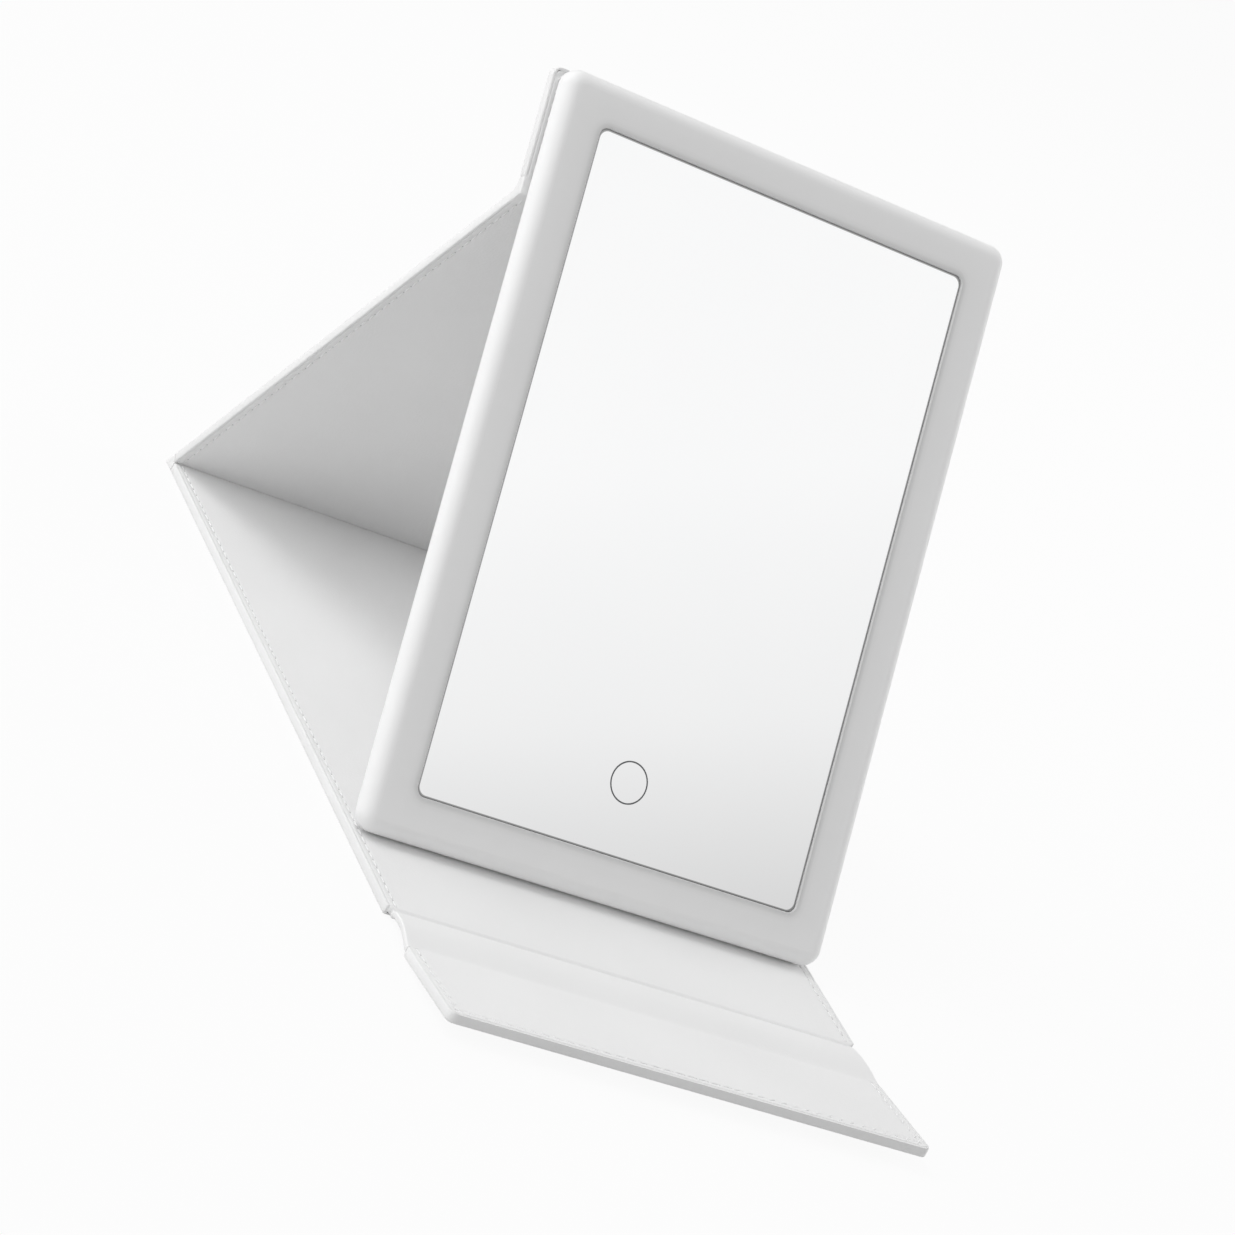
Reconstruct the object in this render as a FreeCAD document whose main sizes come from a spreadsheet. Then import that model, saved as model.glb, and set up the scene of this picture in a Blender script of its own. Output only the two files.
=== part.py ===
import FreeCAD, Part
import math
import os
import re
import Sketcher

# Lighted makeup mirror in a folding leather case.
# The case is four stiff panels and a soft spine in a row. It stands as an easel: the base lies on the
# table, the strut leans forward from the base's rear crease, and the fixed panel at the strut's top
# carries the mirror, whose foot comes down on the base. Millimetres, +Z up, origin on the table under
# the middle of the base, +X along the creases to the viewer's right, +Y to the back.

doc = FreeCAD.newDocument("makeup_mirror")
ACROSS = FreeCAD.Vector(1, 0, 0)
UP = FreeCAD.Vector(0, 0, 1)
TOLERANCE = 1e-3

# Driving sizes

SIZES = {
    # Leather case, with spans measured from crease to crease
    "case_width": "151.5",
    "panel_thickness": "3.0",
    "skin_thickness": "0.8",
    "lining_thickness": "0.7",
    "panel_corner": "2.5",
    "base_span": "242",
    "strut_span": "190",
    "fixed_panel_span": "36.3",
    "spine_span": "17.5",
    "spine_narrowing": "1.0",
    "flap_span": "34",
    "flap_lift": "6",
    "lean_angle": "30",
    "fold_gap": "0.3",
    "foot_gap": "0.3",
    "top_rise": "0.6",
    "board_gap": "0.2",
    "magnet_radius": "5",
    "magnet_thickness": "1.2",
    "magnet_spacing": "96",
    "keeper_setback": "17",
    # Mirror housing
    "frame_width": "152",
    "frame_height": "212",
    "border_side": "13.5",
    "border_end": "12.75",
    "edge_flat": "0.4",
    "frame_corner": "5.2",
    "front_wall": "1.8",
    "side_wall": "4.6",
    "cavity_corner": "3",
    "lip_radius": "0.4",
    "cover_thickness": "1.4",
    "cover_gap": "0.15",
    "platform_inset": "9",
    "platform_corner": "5",
    "platform_round": "1",
    "mounting_tape_thickness": "0.6",
    "mounting_tape_margin": "4",
    "mounting_tape_end": "2",
    "boss_radius": "2.8",
    "shoulder_radius": "3.7",
    "boss_inset": "8.6",
    # Glass and touch key
    "glass_corner": "2.5",
    "glass_gap": "0.15",
    "glass_thickness": "1.8",
    "glass_recess": "0.7",
    "glass_tape_thickness": "0.4",
    "glass_tape_width": "8",
    "glass_tape_inset": "1",
    "ring_radius": "6",
    "ring_line": "0.45",
    "ring_depth": "0.15",
    "ring_rise": "20.6",
    "inlay_gap": "0.02",
    "sensor_radius": "7",
    "sensor_thickness": "0.8",
    # Light and electronics
    "tray_thickness": "1.2",
    "tray_gap": "0.3",
    "hole_gap": "0.2",
    "strip_width": "5",
    "strip_thickness": "0.3",
    "chip_length": "3.5",
    "chip_width": "2.8",
    "chip_height": "0.6",
    "chip_pitch": "14",
    "battery_thickness": "3.6",
    "battery_corner": "1.5",
    "battery_share": "0.488",
    "battery_end_room": "13.25",
    "battery_room": "0.4",
    "battery_tape_thickness": "0.3",
    "battery_tape_inset": "6",
    "board_width": "48",
    "board_length": "30",
    "board_thickness": "1.0",
    "board_offset": "10.65",
    "standoff_height": "0.65",
    "standoff_radius": "2.2",
    "standoff_inset": "4",
    "controller_side": "7",
    "controller_height": "1.0",
    "coil_side": "5",
    "coil_height": "1.7",
    "plug_length": "6",
    "plug_width": "4",
    "plug_height": "1.6",
    "port_width": "8.94",
    "port_height": "3.2",
    "port_length": "7.3",
    "port_wall": "0.3",
    "port_corner": "1.5",
    "port_socket": "6.2",
    "port_tongue_width": "6.7",
    "port_tongue_height": "0.7",
    "port_recess": "0.8",
    "port_gap": "0.15",
    "screw_radius": "1.0",
    "screw_head_radius": "1.9",
    "screw_head_height": "0.7",
    "screw_bite": "3.2",
    "screw_gap": "0.1",
    "thread_gap": "0.02",
    "lead_radius": "0.6",
    "lead_bend": "1.5",
    "lead_spacing": "1.6",
    "lead_inset": "2",
    "lead_run": "8",
}

# Worked-out places and angles, each from the sizes above it

LAYOUT = {
    "lean": "lean_angle * 1 deg",
    "inner_width": "case_width - 2 * skin_thickness - 2 * board_gap",
    "core_thickness": "panel_thickness - skin_thickness - lining_thickness",
    # Depths behind the front of the frame: the pieces stack up from the glass to the case
    "glass_back": "glass_recess + glass_thickness",
    "tray_front": "glass_back + glass_tape_thickness",
    "tray_back": "tray_front + tray_thickness",
    "board_front": "tray_back + standoff_height",
    "board_back": "board_front + board_thickness",
    "port_middle": "board_front + board_thickness / 2",
    "cover_front": "port_middle + port_height / 2 + port_gap",
    "rim_depth": "cover_front + cover_thickness",
    "edge_radius": "(rim_depth - edge_flat) / 2",
    "battery_front": "tray_back + battery_tape_thickness",
    "battery_back": "battery_front + battery_thickness",
    "platform_back": "battery_back + battery_room + cover_thickness",
    "platform_height": "platform_back - rim_depth",
    "panel_front": "platform_back + mounting_tape_thickness",
    "panel_back": "panel_front + panel_thickness",
    # Heights up the mirror from its lower edge, and sizes across it
    "glass_width": "frame_width - 2 * border_side",
    "glass_height": "frame_height - 2 * border_end",
    "ring_height": "border_end + ring_rise",
    "middle_height": "frame_height / 2",
    "top_crease_height": "frame_height + top_rise - fixed_panel_span",
    "top_crease_depth": "panel_front + lining_thickness / 2",
    "cavity_width": "frame_width - 2 * side_wall",
    "cavity_height": "frame_height - 2 * side_wall",
    "platform_width": "cavity_width - 2 * cover_gap - 2 * platform_inset",
    "platform_length": "cavity_height - 2 * cover_gap - 2 * platform_inset",
    "boss_across": "frame_width / 2 - boss_inset",
    "boss_along": "frame_height / 2 - boss_inset",
    "strip_centre": "(glass_width / 2 + cavity_width / 2) / 2",
    "strip_centre_along": "(glass_height / 2 + cavity_height / 2) / 2",
    "side_strip_length": "2 * (boss_along - shoulder_radius - tray_gap)",
    "end_strip_length": "2 * (boss_across - shoulder_radius - tray_gap)",
    "board_rise": "ring_height + board_offset",
    "board_top": "board_rise + board_length",
    "board_right": "cavity_width / 2 - tray_gap",
    "port_mouth": "frame_width / 2 - port_recess",
    "port_rise": "board_rise + board_length / 2",
    "notch_depth": "port_length - (port_mouth - board_right) + hole_gap",
    "notch_centre": "board_right - notch_depth / 2 + tray_gap",
    "plug_left": "board_right - board_width + 2 * standoff_inset + screw_head_radius",
    "light_plug_left": "plug_left + 2 * plug_length",
    "battery_width": "2 * (plug_left + plug_length / 2 + lead_inset)",
    "battery_length": "battery_share * platform_length",
    "battery_rise": "middle_height + platform_length / 2 - battery_end_room - battery_length",
    # The easel: heights of the foot and of the creases, then the strut's slope and what follows from it
    "foot_height": "panel_thickness + foot_gap + (rim_depth - edge_radius) * sin(lean)"
                   " + edge_radius * (1 - cos(lean))",
    "top_crease_z": "foot_height - top_crease_depth * sin(lean) + top_crease_height * cos(lean)",
    "rear_crease_y": "base_span / 2",
    "rear_crease_z": "skin_thickness / 2",
    "crease_offset": "panel_thickness - skin_thickness / 2 - lining_thickness / 2",
    "crease_chord": "sqrt(strut_span ^ 2 + crease_offset ^ 2)",
    "strut_angle": "asin((top_crease_z - rear_crease_z) / crease_chord) + atan(crease_offset / strut_span)",
    "top_crease_y": "rear_crease_y - sqrt(crease_chord ^ 2 - (top_crease_z - rear_crease_z) ^ 2)",
    "foot_y": "top_crease_y - top_crease_depth * cos(lean) - top_crease_height * sin(lean)",
    "apex_angle": "90 deg + lean - strut_angle",
    "strut_turn": "180 deg - strut_angle",
    "mirror_turn": "90 deg - lean",
    # How far the stiff panels stop short of their creases, and the thin leaves short of each other
    "rear_setback": "(panel_thickness - skin_thickness / 2) / tan(strut_angle / 2) + fold_gap",
    "rear_leaf_gap": "skin_thickness / 2 / tan(strut_angle / 2) + fold_gap",
    "top_setback": "(panel_thickness - lining_thickness / 2) * tan(apex_angle / 2) + fold_gap",
    "lining_leaf_gap": "lining_thickness / 2 + fold_gap",
    "lining_axis": "panel_thickness - lining_thickness / 2",
    "front_crease_y": "-base_span / 2",
    "flap_crease_y": "front_crease_y - spine_span",
}


def qualified(formula):
    """The formula with each size written as a cell of its sheet."""
    def cell(match):
        word = match.group(0)
        if word in SIZES:
            return "Sizes." + word
        if word in LAYOUT:
            return "Layout." + word
        return word
    return re.sub(r"[a-z][a-z_]*", cell, formula)


def make_sheet(name, cells, is_formula):
    sheet = doc.addObject("Spreadsheet::Sheet", name)
    for row, (alias, text) in enumerate(cells.items(), start=1):
        sheet.set(f"A{row}", alias)
        sheet.set(f"B{row}", "=" + qualified(text) if is_formula else text)
        sheet.setAlias(f"B{row}", alias)
    return sheet


sizes = make_sheet("Sizes", SIZES, False)
make_sheet("Layout", LAYOUT, True)
doc.recompute()


def value(formula):
    """A formula's number, in millimetres or degrees."""
    result = sizes.evalExpression(qualified(formula))
    return float(getattr(result, "Value", result))


def bind(thing, prop, formula):
    thing.setExpression(prop, qualified(formula))


# Poses: how the pieces of each moving body turn about X and where their own origin goes

POSES = {
    "base": ("0", "0", "0 deg"),
    "strut": (
        "rear_crease_y + skin_thickness / 2 * sin(strut_turn)",
        "rear_crease_z - skin_thickness / 2 * cos(strut_turn)",
        "strut_turn",
    ),
    "mirror": ("foot_y", "foot_height", "mirror_turn"),
    "spine": ("front_crease_y", "0", "0 deg"),
    "flap": (
        "flap_crease_y - lining_axis * sin(flap_lift * 1 deg)",
        "lining_axis * (1 - cos(flap_lift * 1 deg))",
        "-flap_lift * 1 deg",
    ),
}
nodes = {}


def add_node(piece, node, pose):
    """Name a finished piece and stand it where its body stands."""
    y, z, turn = POSES[pose]
    piece.Label = node
    # A rotation keeps its axis only while it turns at all, so the piece starts a little turned
    piece.Placement = FreeCAD.Placement(FreeCAD.Vector(), FreeCAD.Rotation(ACROSS, 1))
    bind(piece, "Placement.Base.y", y)
    bind(piece, "Placement.Base.z", z)
    bind(piece, "Placement.Rotation.Angle", turn)
    nodes[node] = piece


# Sketches, pads and pockets

def new_sketch(body, name, centre, plane="XY_Plane"):
    """A sketch on one of the body's own planes, its origin moved to the centre given by formulas."""
    sketch = body.newObject("Sketcher::SketchObject", name)
    support = next(item for item in body.Origin.OriginFeatures if item.Role == plane)
    sketch.AttachmentSupport = [(support, "")]
    sketch.MapMode = "FlatFace"
    for axis, formula in zip("xyz", centre):
        bind(sketch, f"AttachmentOffset.Base.{axis}", formula)
    return sketch


def name_size(sketch, constraint, name, formula):
    index = sketch.addConstraint(constraint)
    sketch.renameConstraint(index, name)
    bind(sketch, f"Constraints.{name}", formula)


def draw_rectangle(sketch, width, height, corner=None, name="outline"):
    """A rectangle about the sketch's origin, with round corners where a radius is given."""
    half_w = value(width) / 2
    half_h = value(height) / 2
    radius = value(corner) if corner else 0
    ends = [
        ((radius - half_w, -half_h), (half_w - radius, -half_h)),
        ((half_w, radius - half_h), (half_w, half_h - radius)),
        ((half_w - radius, half_h), (radius - half_w, half_h)),
        ((-half_w, half_h - radius), (-half_w, radius - half_h)),
    ]
    sides = []
    for start, end in ends:
        line = Part.LineSegment(FreeCAD.Vector(*start, 0), FreeCAD.Vector(*end, 0))
        sides.append(sketch.addGeometry(line))
    bottom, right, top, left = sides
    for side in (bottom, top):
        sketch.addConstraint(Sketcher.Constraint("Horizontal", side))
    for side in (left, right):
        sketch.addConstraint(Sketcher.Constraint("Vertical", side))
    if corner:
        arcs = []
        signs = ((1, -1, 270), (1, 1, 0), (-1, 1, 90), (-1, -1, 180))
        for across, along, start in signs:
            centre = FreeCAD.Vector(across * (half_w - radius), along * (half_h - radius), 0)
            circle = Part.Circle(centre, UP, radius)
            quarter = Part.ArcOfCircle(circle, math.radians(start), math.radians(start + 90))
            arcs.append(sketch.addGeometry(quarter))
        for index in range(4):
            after = sides[(index + 1) % 4]
            sketch.addConstraint(Sketcher.Constraint("Tangent", sides[index], 2, arcs[index], 1))
            sketch.addConstraint(Sketcher.Constraint("Tangent", arcs[index], 2, after, 1))
        for other in arcs[1:]:
            sketch.addConstraint(Sketcher.Constraint("Equal", arcs[0], other))
        name_size(sketch, Sketcher.Constraint("Radius", arcs[0], radius), name + "_corner", corner)
        sketch.addConstraint(Sketcher.Constraint("Symmetric", arcs[0], 3, arcs[2], 3, -1, 1))
    else:
        for index in range(4):
            after = sides[(index + 1) % 4]
            sketch.addConstraint(Sketcher.Constraint("Coincident", sides[index], 2, after, 1))
        sketch.addConstraint(Sketcher.Constraint("Symmetric", bottom, 1, top, 1, -1, 1))
    across = Sketcher.Constraint("DistanceX", left, 1, right, 1, 2 * half_w)
    name_size(sketch, across, name + "_width", width)
    along = Sketcher.Constraint("DistanceY", bottom, 1, top, 1, 2 * half_h)
    name_size(sketch, along, name + "_height", height)


def draw_circles(sketch, places, radius):
    """Circles of one radius at places given by formulas from the sketch's origin."""
    for number, (across, along) in enumerate(places, start=1):
        centre = FreeCAD.Vector(value(across), value(along), 0)
        circle = sketch.addGeometry(Part.Circle(centre, UP, value(radius)))
        name_size(sketch, Sketcher.Constraint("Radius", circle, value(radius)), f"radius_{number}", radius)
        for direction, formula, offset in (("X", across, centre.x), ("Y", along, centre.y)):
            distance = Sketcher.Constraint("Distance" + direction, -1, 1, circle, 3, offset)
            name_size(sketch, distance, f"place_{direction}_{number}".lower(), formula)


def pad(body, sketch, length):
    feature = body.newObject("PartDesign::Pad", "Pad")
    feature.Profile = sketch
    bind(feature, "Length", length)
    doc.recompute()
    return feature


def pocket(body, sketch, length, upward=False):
    """Cut from the sketch down into the body, or up where it says so."""
    before = body.Shape.Volume
    feature = body.newObject("PartDesign::Pocket", "Pocket")
    feature.Profile = sketch
    feature.Reversed = upward
    bind(feature, "Length", length)
    doc.recompute()
    if body.Shape.Volume >= before:
        raise ValueError(f"{body.Name}: a pocket cut nothing")
    return feature


def fillet(body, base, edges, radius):
    feature = body.newObject("PartDesign::Fillet", "Fillet")
    feature.Base = (base, edges)
    bind(feature, "Radius", radius)
    doc.recompute()
    return feature


def edges_where(feature, test):
    """Names of the feature's edges whose every end and middle passes the test."""
    found = []
    for number, edge in enumerate(feature.Shape.Edges, start=1):
        middle = edge.valueAt((edge.FirstParameter + edge.LastParameter) / 2)
        points = [vertex.Point for vertex in edge.Vertexes] + [middle]
        if all(test(point) for point in points):
            found.append(f"Edge{number}")
    return found


def near(a, b):
    return abs(a - b) < TOLERANCE


def new_body(name):
    return doc.addObject("PartDesign::Body", name)


def plate(name, centre, width, length, thickness, corner=None):
    """A flat rectangular piece, its centre given on its lower face."""
    body = new_body(name)
    sketch = new_sketch(body, "Outline", centre)
    draw_rectangle(sketch, width, length, corner)
    pad(body, sketch, thickness)
    return body


def block(name, low, size):
    """A box by its low corner and its size, for groups of small pieces."""
    box = doc.addObject("Part::Box", name)
    for prop, formula in zip(("Length", "Width", "Height"), size):
        bind(box, prop, formula)
    for axis, formula in zip("xyz", low):
        bind(box, f"Placement.Base.{axis}", formula)
    return box


def rod(name, centre, radius, height):
    """An upright cylinder by the centre of its lower end."""
    cylinder = doc.addObject("Part::Cylinder", name)
    bind(cylinder, "Radius", radius)
    bind(cylinder, "Height", height)
    for axis, formula in zip("xyz", centre):
        bind(cylinder, f"Placement.Base.{axis}", formula)
    return cylinder


def group(kind, name, pieces):
    """A Part::MultiFuse or Part::Compound of several pieces."""
    together = doc.addObject(kind, name)
    if kind == "Part::MultiFuse":
        together.Shapes = pieces
    else:
        together.Links = pieces
    doc.recompute()
    return together


def add_bead(body, y, z, radius, width):
    """The round end of a thin leaf, turned about its crease."""
    sketch = new_sketch(body, "Bead", (y, z, f"-({width}) / 2"), "YZ_Plane")
    draw_circles(sketch, [("0", "0")], radius)
    return pad(body, sketch, width)


def add_leaf(body, low, high, z, thickness, width):
    """A thin sheet that carries on from a panel's end towards its crease."""
    sketch = new_sketch(body, "Leaf", ("0", f"(({low}) + ({high})) / 2", z))
    draw_rectangle(sketch, width, f"({high}) - ({low})")
    return pad(body, sketch, thickness)


# Leather panels
# Each is an outer skin with its edges turned up round a stiff board, closed by a lining.
# A panel lies flat with its lining up while it is drawn, between two distances along the case.

def make_panel(prefix, pose, low, high, floor="0", free_end=None):
    """Skin, board and lining of one panel; its free end, if it has one, is +1 or -1."""
    low_wall = "skin_thickness" if free_end == -1 else "0"
    high_wall = "skin_thickness" if free_end == 1 else "0"
    low_room = "(skin_thickness + board_gap)" if free_end == -1 else "0"
    high_room = "(skin_thickness + board_gap)" if free_end == 1 else "0"
    past_low = "0" if free_end == -1 else "panel_thickness"
    past_high = "0" if free_end == 1 else "panel_thickness"

    skin = new_body(prefix + "_outer_skin")
    outline = new_sketch(skin, "Outline", ("0", f"(({low}) + ({high})) / 2", floor))
    draw_rectangle(outline, "case_width", f"({high}) - ({low})")
    slab = pad(skin, outline, "panel_thickness")
    if free_end:
        tip = value(high) if free_end == 1 else value(low)
        side = value("case_width / 2")
        corners = edges_where(slab, lambda p: near(p.y, tip) and near(abs(p.x), side))
        fillet(skin, slab, corners, "panel_corner")
    start = f"(({low}) + {low_wall} - {past_low})"
    end = f"(({high}) - {high_wall} + {past_high})"
    inside_centre = ("0", f"({start} + {end}) / 2", f"({floor}) + panel_thickness")
    inside = new_sketch(skin, "Inside", inside_centre)
    draw_rectangle(inside, "case_width - 2 * skin_thickness", f"{end} - {start}")
    pocket(skin, inside, "panel_thickness - skin_thickness")

    start = f"(({low}) + {low_room})"
    end = f"(({high}) - {high_room})"
    middle = f"({start} + {end}) / 2"
    length = f"{end} - {start}"
    board_centre = ("0", middle, f"({floor}) + skin_thickness")
    board = plate(prefix + "_board", board_centre, "inner_width", length, "core_thickness")
    lining_centre = ("0", middle, f"({floor}) + panel_thickness - lining_thickness")
    lining = plate(prefix + "_lining", lining_centre, "inner_width", length, "lining_thickness")
    add_node(skin, prefix + "_outer_skin", pose)
    add_node(board, prefix + "_board", pose)
    add_node(lining, prefix + "_lining", pose)
    return {"skin": skin, "board": board, "lining": lining}


def make_magnets(node, pose, board, along, floor):
    """A pair of discs let into a board."""
    places = [("-magnet_spacing / 2", along), ("magnet_spacing / 2", along)]
    board_face = f"({floor}) + skin_thickness + core_thickness"
    holes = new_sketch(board, "MagnetHoles", ("0", "0", board_face))
    draw_circles(holes, places, "magnet_radius + board_gap")
    pocket(board, holes, "core_thickness")
    discs = []
    for across, place in places:
        centre = (across, place, f"({floor}) + skin_thickness")
        discs.append(rod("Disc", centre, "magnet_radius", "magnet_thickness"))
    add_node(group("Part::Compound", node, discs), node, pose)


# Base panel, lining up, with a thin leaf of skin reaching back to the rear crease

base_low = "front_crease_y + lining_leaf_gap"
base_high = "rear_crease_y - rear_setback"
base = make_panel("base", "base", base_low, base_high)
add_leaf(base["skin"], base_high, "rear_crease_y - rear_leaf_gap", "0", "skin_thickness", "case_width")

# Strut, with the round end of its skin on the rear crease and a leaf of lining at the top crease

strut_high = "strut_span - top_setback"
strut = make_panel("strut", "strut", "rear_setback", strut_high)
add_leaf(strut["skin"], "0", "rear_setback", "0", "skin_thickness", "case_width")
add_bead(strut["skin"], "0", "skin_thickness / 2", "skin_thickness / 2", "case_width")
add_leaf(strut["lining"], strut_high, "strut_span - lining_leaf_gap",
         "panel_thickness - lining_thickness", "lining_thickness", "inner_width")

# Fixed panel behind the top of the mirror, hung from the top crease by its lining

fixed_floor = "-panel_back"
fixed_low = "top_crease_height + top_setback"
fixed_high = "frame_height + top_rise"
fixed = make_panel("fixed_panel", "mirror", fixed_low, fixed_high, fixed_floor, free_end=1)
add_leaf(fixed["lining"], "top_crease_height", fixed_low,
         "-panel_front - lining_thickness", "lining_thickness", "inner_width")
add_bead(fixed["lining"], "top_crease_height", "-top_crease_depth", "lining_thickness / 2", "inner_width")
make_magnets("closure_keepers", "mirror", fixed["board"], f"{fixed_high} - keeper_setback", fixed_floor)

# Soft spine: skin and lining with no board between them

spine_width = "case_width - spine_narrowing"
spine_low = "-spine_span + lining_leaf_gap"
spine_skin = plate(
    "spine_outer_skin",
    ("0", f"({spine_low}) / 2", "panel_thickness - lining_thickness - skin_thickness"),
    spine_width, f"-({spine_low})", "skin_thickness",
)
spine_lining = plate(
    "spine_lining",
    ("0", f"({spine_low}) / 2", "panel_thickness - lining_thickness"),
    spine_width, f"-({spine_low})", "lining_thickness",
)
add_bead(spine_lining, "0", "lining_axis", "lining_thickness / 2", spine_width)
add_node(spine_skin, "spine_outer_skin", "spine")
add_node(spine_lining, "spine_lining", "spine")

# Closing flap, its lining's round end on the flap crease, its magnets meeting the keepers

flap = make_panel("flap", "flap", "-flap_span", "0", free_end=-1)
add_bead(flap["lining"], "0", "lining_axis", "lining_thickness / 2", "inner_width")
make_magnets("flap_magnets", "flap", flap["board"], "-flap_span + keeper_setback", "0")

# Diffuser frame: one milky moulding, bullnosed all round, open at the front for the glass
# The mirror lies face up while it is drawn: its front is at Z 0 and its lower edge at Y 0.

boss_places = [
    ("-boss_across", "-boss_along"),
    ("boss_across", "-boss_along"),
    ("boss_across", "boss_along"),
    ("-boss_across", "boss_along"),
]
frame = new_body("diffuser_frame")
outline = new_sketch(frame, "Outline", ("0", "middle_height", "-rim_depth"))
draw_rectangle(outline, "frame_width", "frame_height", "frame_corner")
slab = pad(frame, outline, "rim_depth")
faces = (0, -value("rim_depth"))
rims = edges_where(slab, lambda p: any(near(p.z, z) for z in faces))
fillet(frame, slab, rims, "edge_radius")
cavity = new_sketch(frame, "Cavity", ("0", "middle_height", "-rim_depth"))
draw_rectangle(cavity, "cavity_width", "cavity_height", "cavity_corner")
pocket(frame, cavity, "rim_depth - front_wall", upward=True)
opening = new_sketch(frame, "Opening", ("0", "middle_height", "0"))
draw_rectangle(opening, "glass_width", "glass_height", "glass_corner")
opened = pocket(frame, opening, "front_wall")
reach_x = value("glass_width / 2") + TOLERANCE
reach_y = value("glass_height / 2") + TOLERANCE
middle = value("middle_height")
lip = edges_where(
    opened,
    lambda p: near(p.z, 0) and abs(p.x) < reach_x and abs(p.y - middle) < reach_y,
)
fillet(frame, opened, lip, "lip_radius")
shoulders = new_sketch(frame, "Shoulders", ("0", "middle_height", "-tray_front"))
draw_circles(shoulders, boss_places, "shoulder_radius")
pad(frame, shoulders, "tray_front - front_wall")
bosses = new_sketch(frame, "Bosses", ("0", "middle_height", "-cover_front"))
draw_circles(bosses, boss_places, "boss_radius")
pad(frame, bosses, "cover_front - front_wall")
pilots = new_sketch(frame, "Pilots", ("0", "middle_height", "-cover_front"))
draw_circles(pilots, boss_places, "screw_radius + thread_gap")
pocket(frame, pilots, "screw_bite + screw_gap", upward=True)
slot_place = ("port_rise", "-port_middle", "cavity_width / 2 - tray_gap")
slot = new_sketch(frame, "PortSlot", slot_place, "YZ_Plane")
draw_rectangle(slot, "port_width + 2 * port_gap", "port_height + 2 * port_gap", "port_corner + port_gap")
pocket(frame, slot, "side_wall + 2 * tray_gap", upward=True)
add_node(frame, "diffuser_frame", "mirror")

# Glass with the touch ring let into its face, and the tape that holds it

glass = plate("mirror_glass", ("0", "middle_height", "-glass_back"), "glass_width - 2 * glass_gap",
              "glass_height - 2 * glass_gap", "glass_thickness", "glass_corner - glass_gap")
groove = new_sketch(glass, "RingGroove", ("0", "ring_height", "-glass_recess"))
draw_circles(groove, [("0", "0")], "ring_radius")
inner_radius = value("ring_radius - ring_line")
inner = groove.addGeometry(Part.Circle(FreeCAD.Vector(), UP, inner_radius))
groove.addConstraint(Sketcher.Constraint("Coincident", inner, 3, -1, 1))
inner_size = Sketcher.Constraint("Radius", inner, inner_radius)
name_size(groove, inner_size, "inner_radius", "ring_radius - ring_line")
pocket(glass, groove, "ring_depth")
add_node(glass, "mirror_glass", "mirror")

ring_centre = ("0", "ring_height", "-glass_recess - ring_depth")
ring = doc.addObject("Part::Cut", "touch_ring")
ring.Base = rod("RingOuter", ring_centre, "ring_radius - inlay_gap", "ring_depth")
ring.Tool = rod("RingInner", ring_centre, "ring_radius - ring_line + inlay_gap", "ring_depth")
add_node(ring, "touch_ring", "mirror")

tape = new_body("glass_tape")
tape_sketch = new_sketch(tape, "Tape", ("0", "middle_height", "-tray_front"))
tape_margins = {
    "outline": "(glass_gap + glass_tape_inset)",
    "inside": "(glass_gap + glass_tape_inset + glass_tape_width)",
}
for name, margin in tape_margins.items():
    draw_rectangle(tape_sketch, f"glass_width - 2 * {margin}", f"glass_height - 2 * {margin}",
                   "glass_corner", name)
pad(tape, tape_sketch, "glass_tape_thickness")
add_node(tape, "glass_tape", "mirror")

sensor = new_body("touch_sensor")
sensor_sketch = new_sketch(sensor, "Disc", ("0", "ring_height", "-glass_back - sensor_thickness"))
draw_circles(sensor_sketch, [("0", "0")], "sensor_radius")
pad(sensor, sensor_sketch, "sensor_thickness")
add_node(sensor, "touch_sensor", "mirror")

# Light tray behind the glass, resting on the bosses' shoulders, with standoffs for the circuit board

standoff_places = [
    ("board_right - board_width + standoff_inset", "board_rise + standoff_inset"),
    ("board_right - board_width + standoff_inset", "board_top - standoff_inset"),
]
tray = plate("light_tray", ("0", "middle_height", "-tray_back"), "cavity_width - 2 * tray_gap",
             "cavity_height - 2 * tray_gap", "tray_thickness", "cavity_corner")
tray_holes = new_sketch(tray, "BossHoles", ("0", "middle_height", "-tray_front"))
draw_circles(tray_holes, boss_places, "boss_radius + hole_gap")
pocket(tray, tray_holes, "tray_thickness")
sensor_hole = new_sketch(tray, "SensorHole", ("0", "ring_height", "-tray_front"))
draw_circles(sensor_hole, [("0", "0")], "sensor_radius + hole_gap")
pocket(tray, sensor_hole, "tray_thickness")
notch = new_sketch(tray, "PortNotch", ("notch_centre", "port_rise", "-tray_front"))
draw_rectangle(notch, "notch_depth + 2 * tray_gap", "port_width + 2 * hole_gap")
pocket(tray, notch, "tray_thickness")
standoffs = new_sketch(tray, "Standoffs", ("0", "0", "-board_front"))
draw_circles(standoffs, standoff_places, "standoff_radius")
pad(tray, standoffs, "standoff_height")
standoff_holes = new_sketch(tray, "StandoffHoles", ("0", "0", "-board_front"))
draw_circles(standoff_holes, standoff_places, "screw_radius + thread_gap")
pocket(tray, standoff_holes, "standoff_height + tray_thickness", upward=True)
add_node(tray, "light_tray", "mirror")

# Light strips on the tray, one along each side, and their chips

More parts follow.
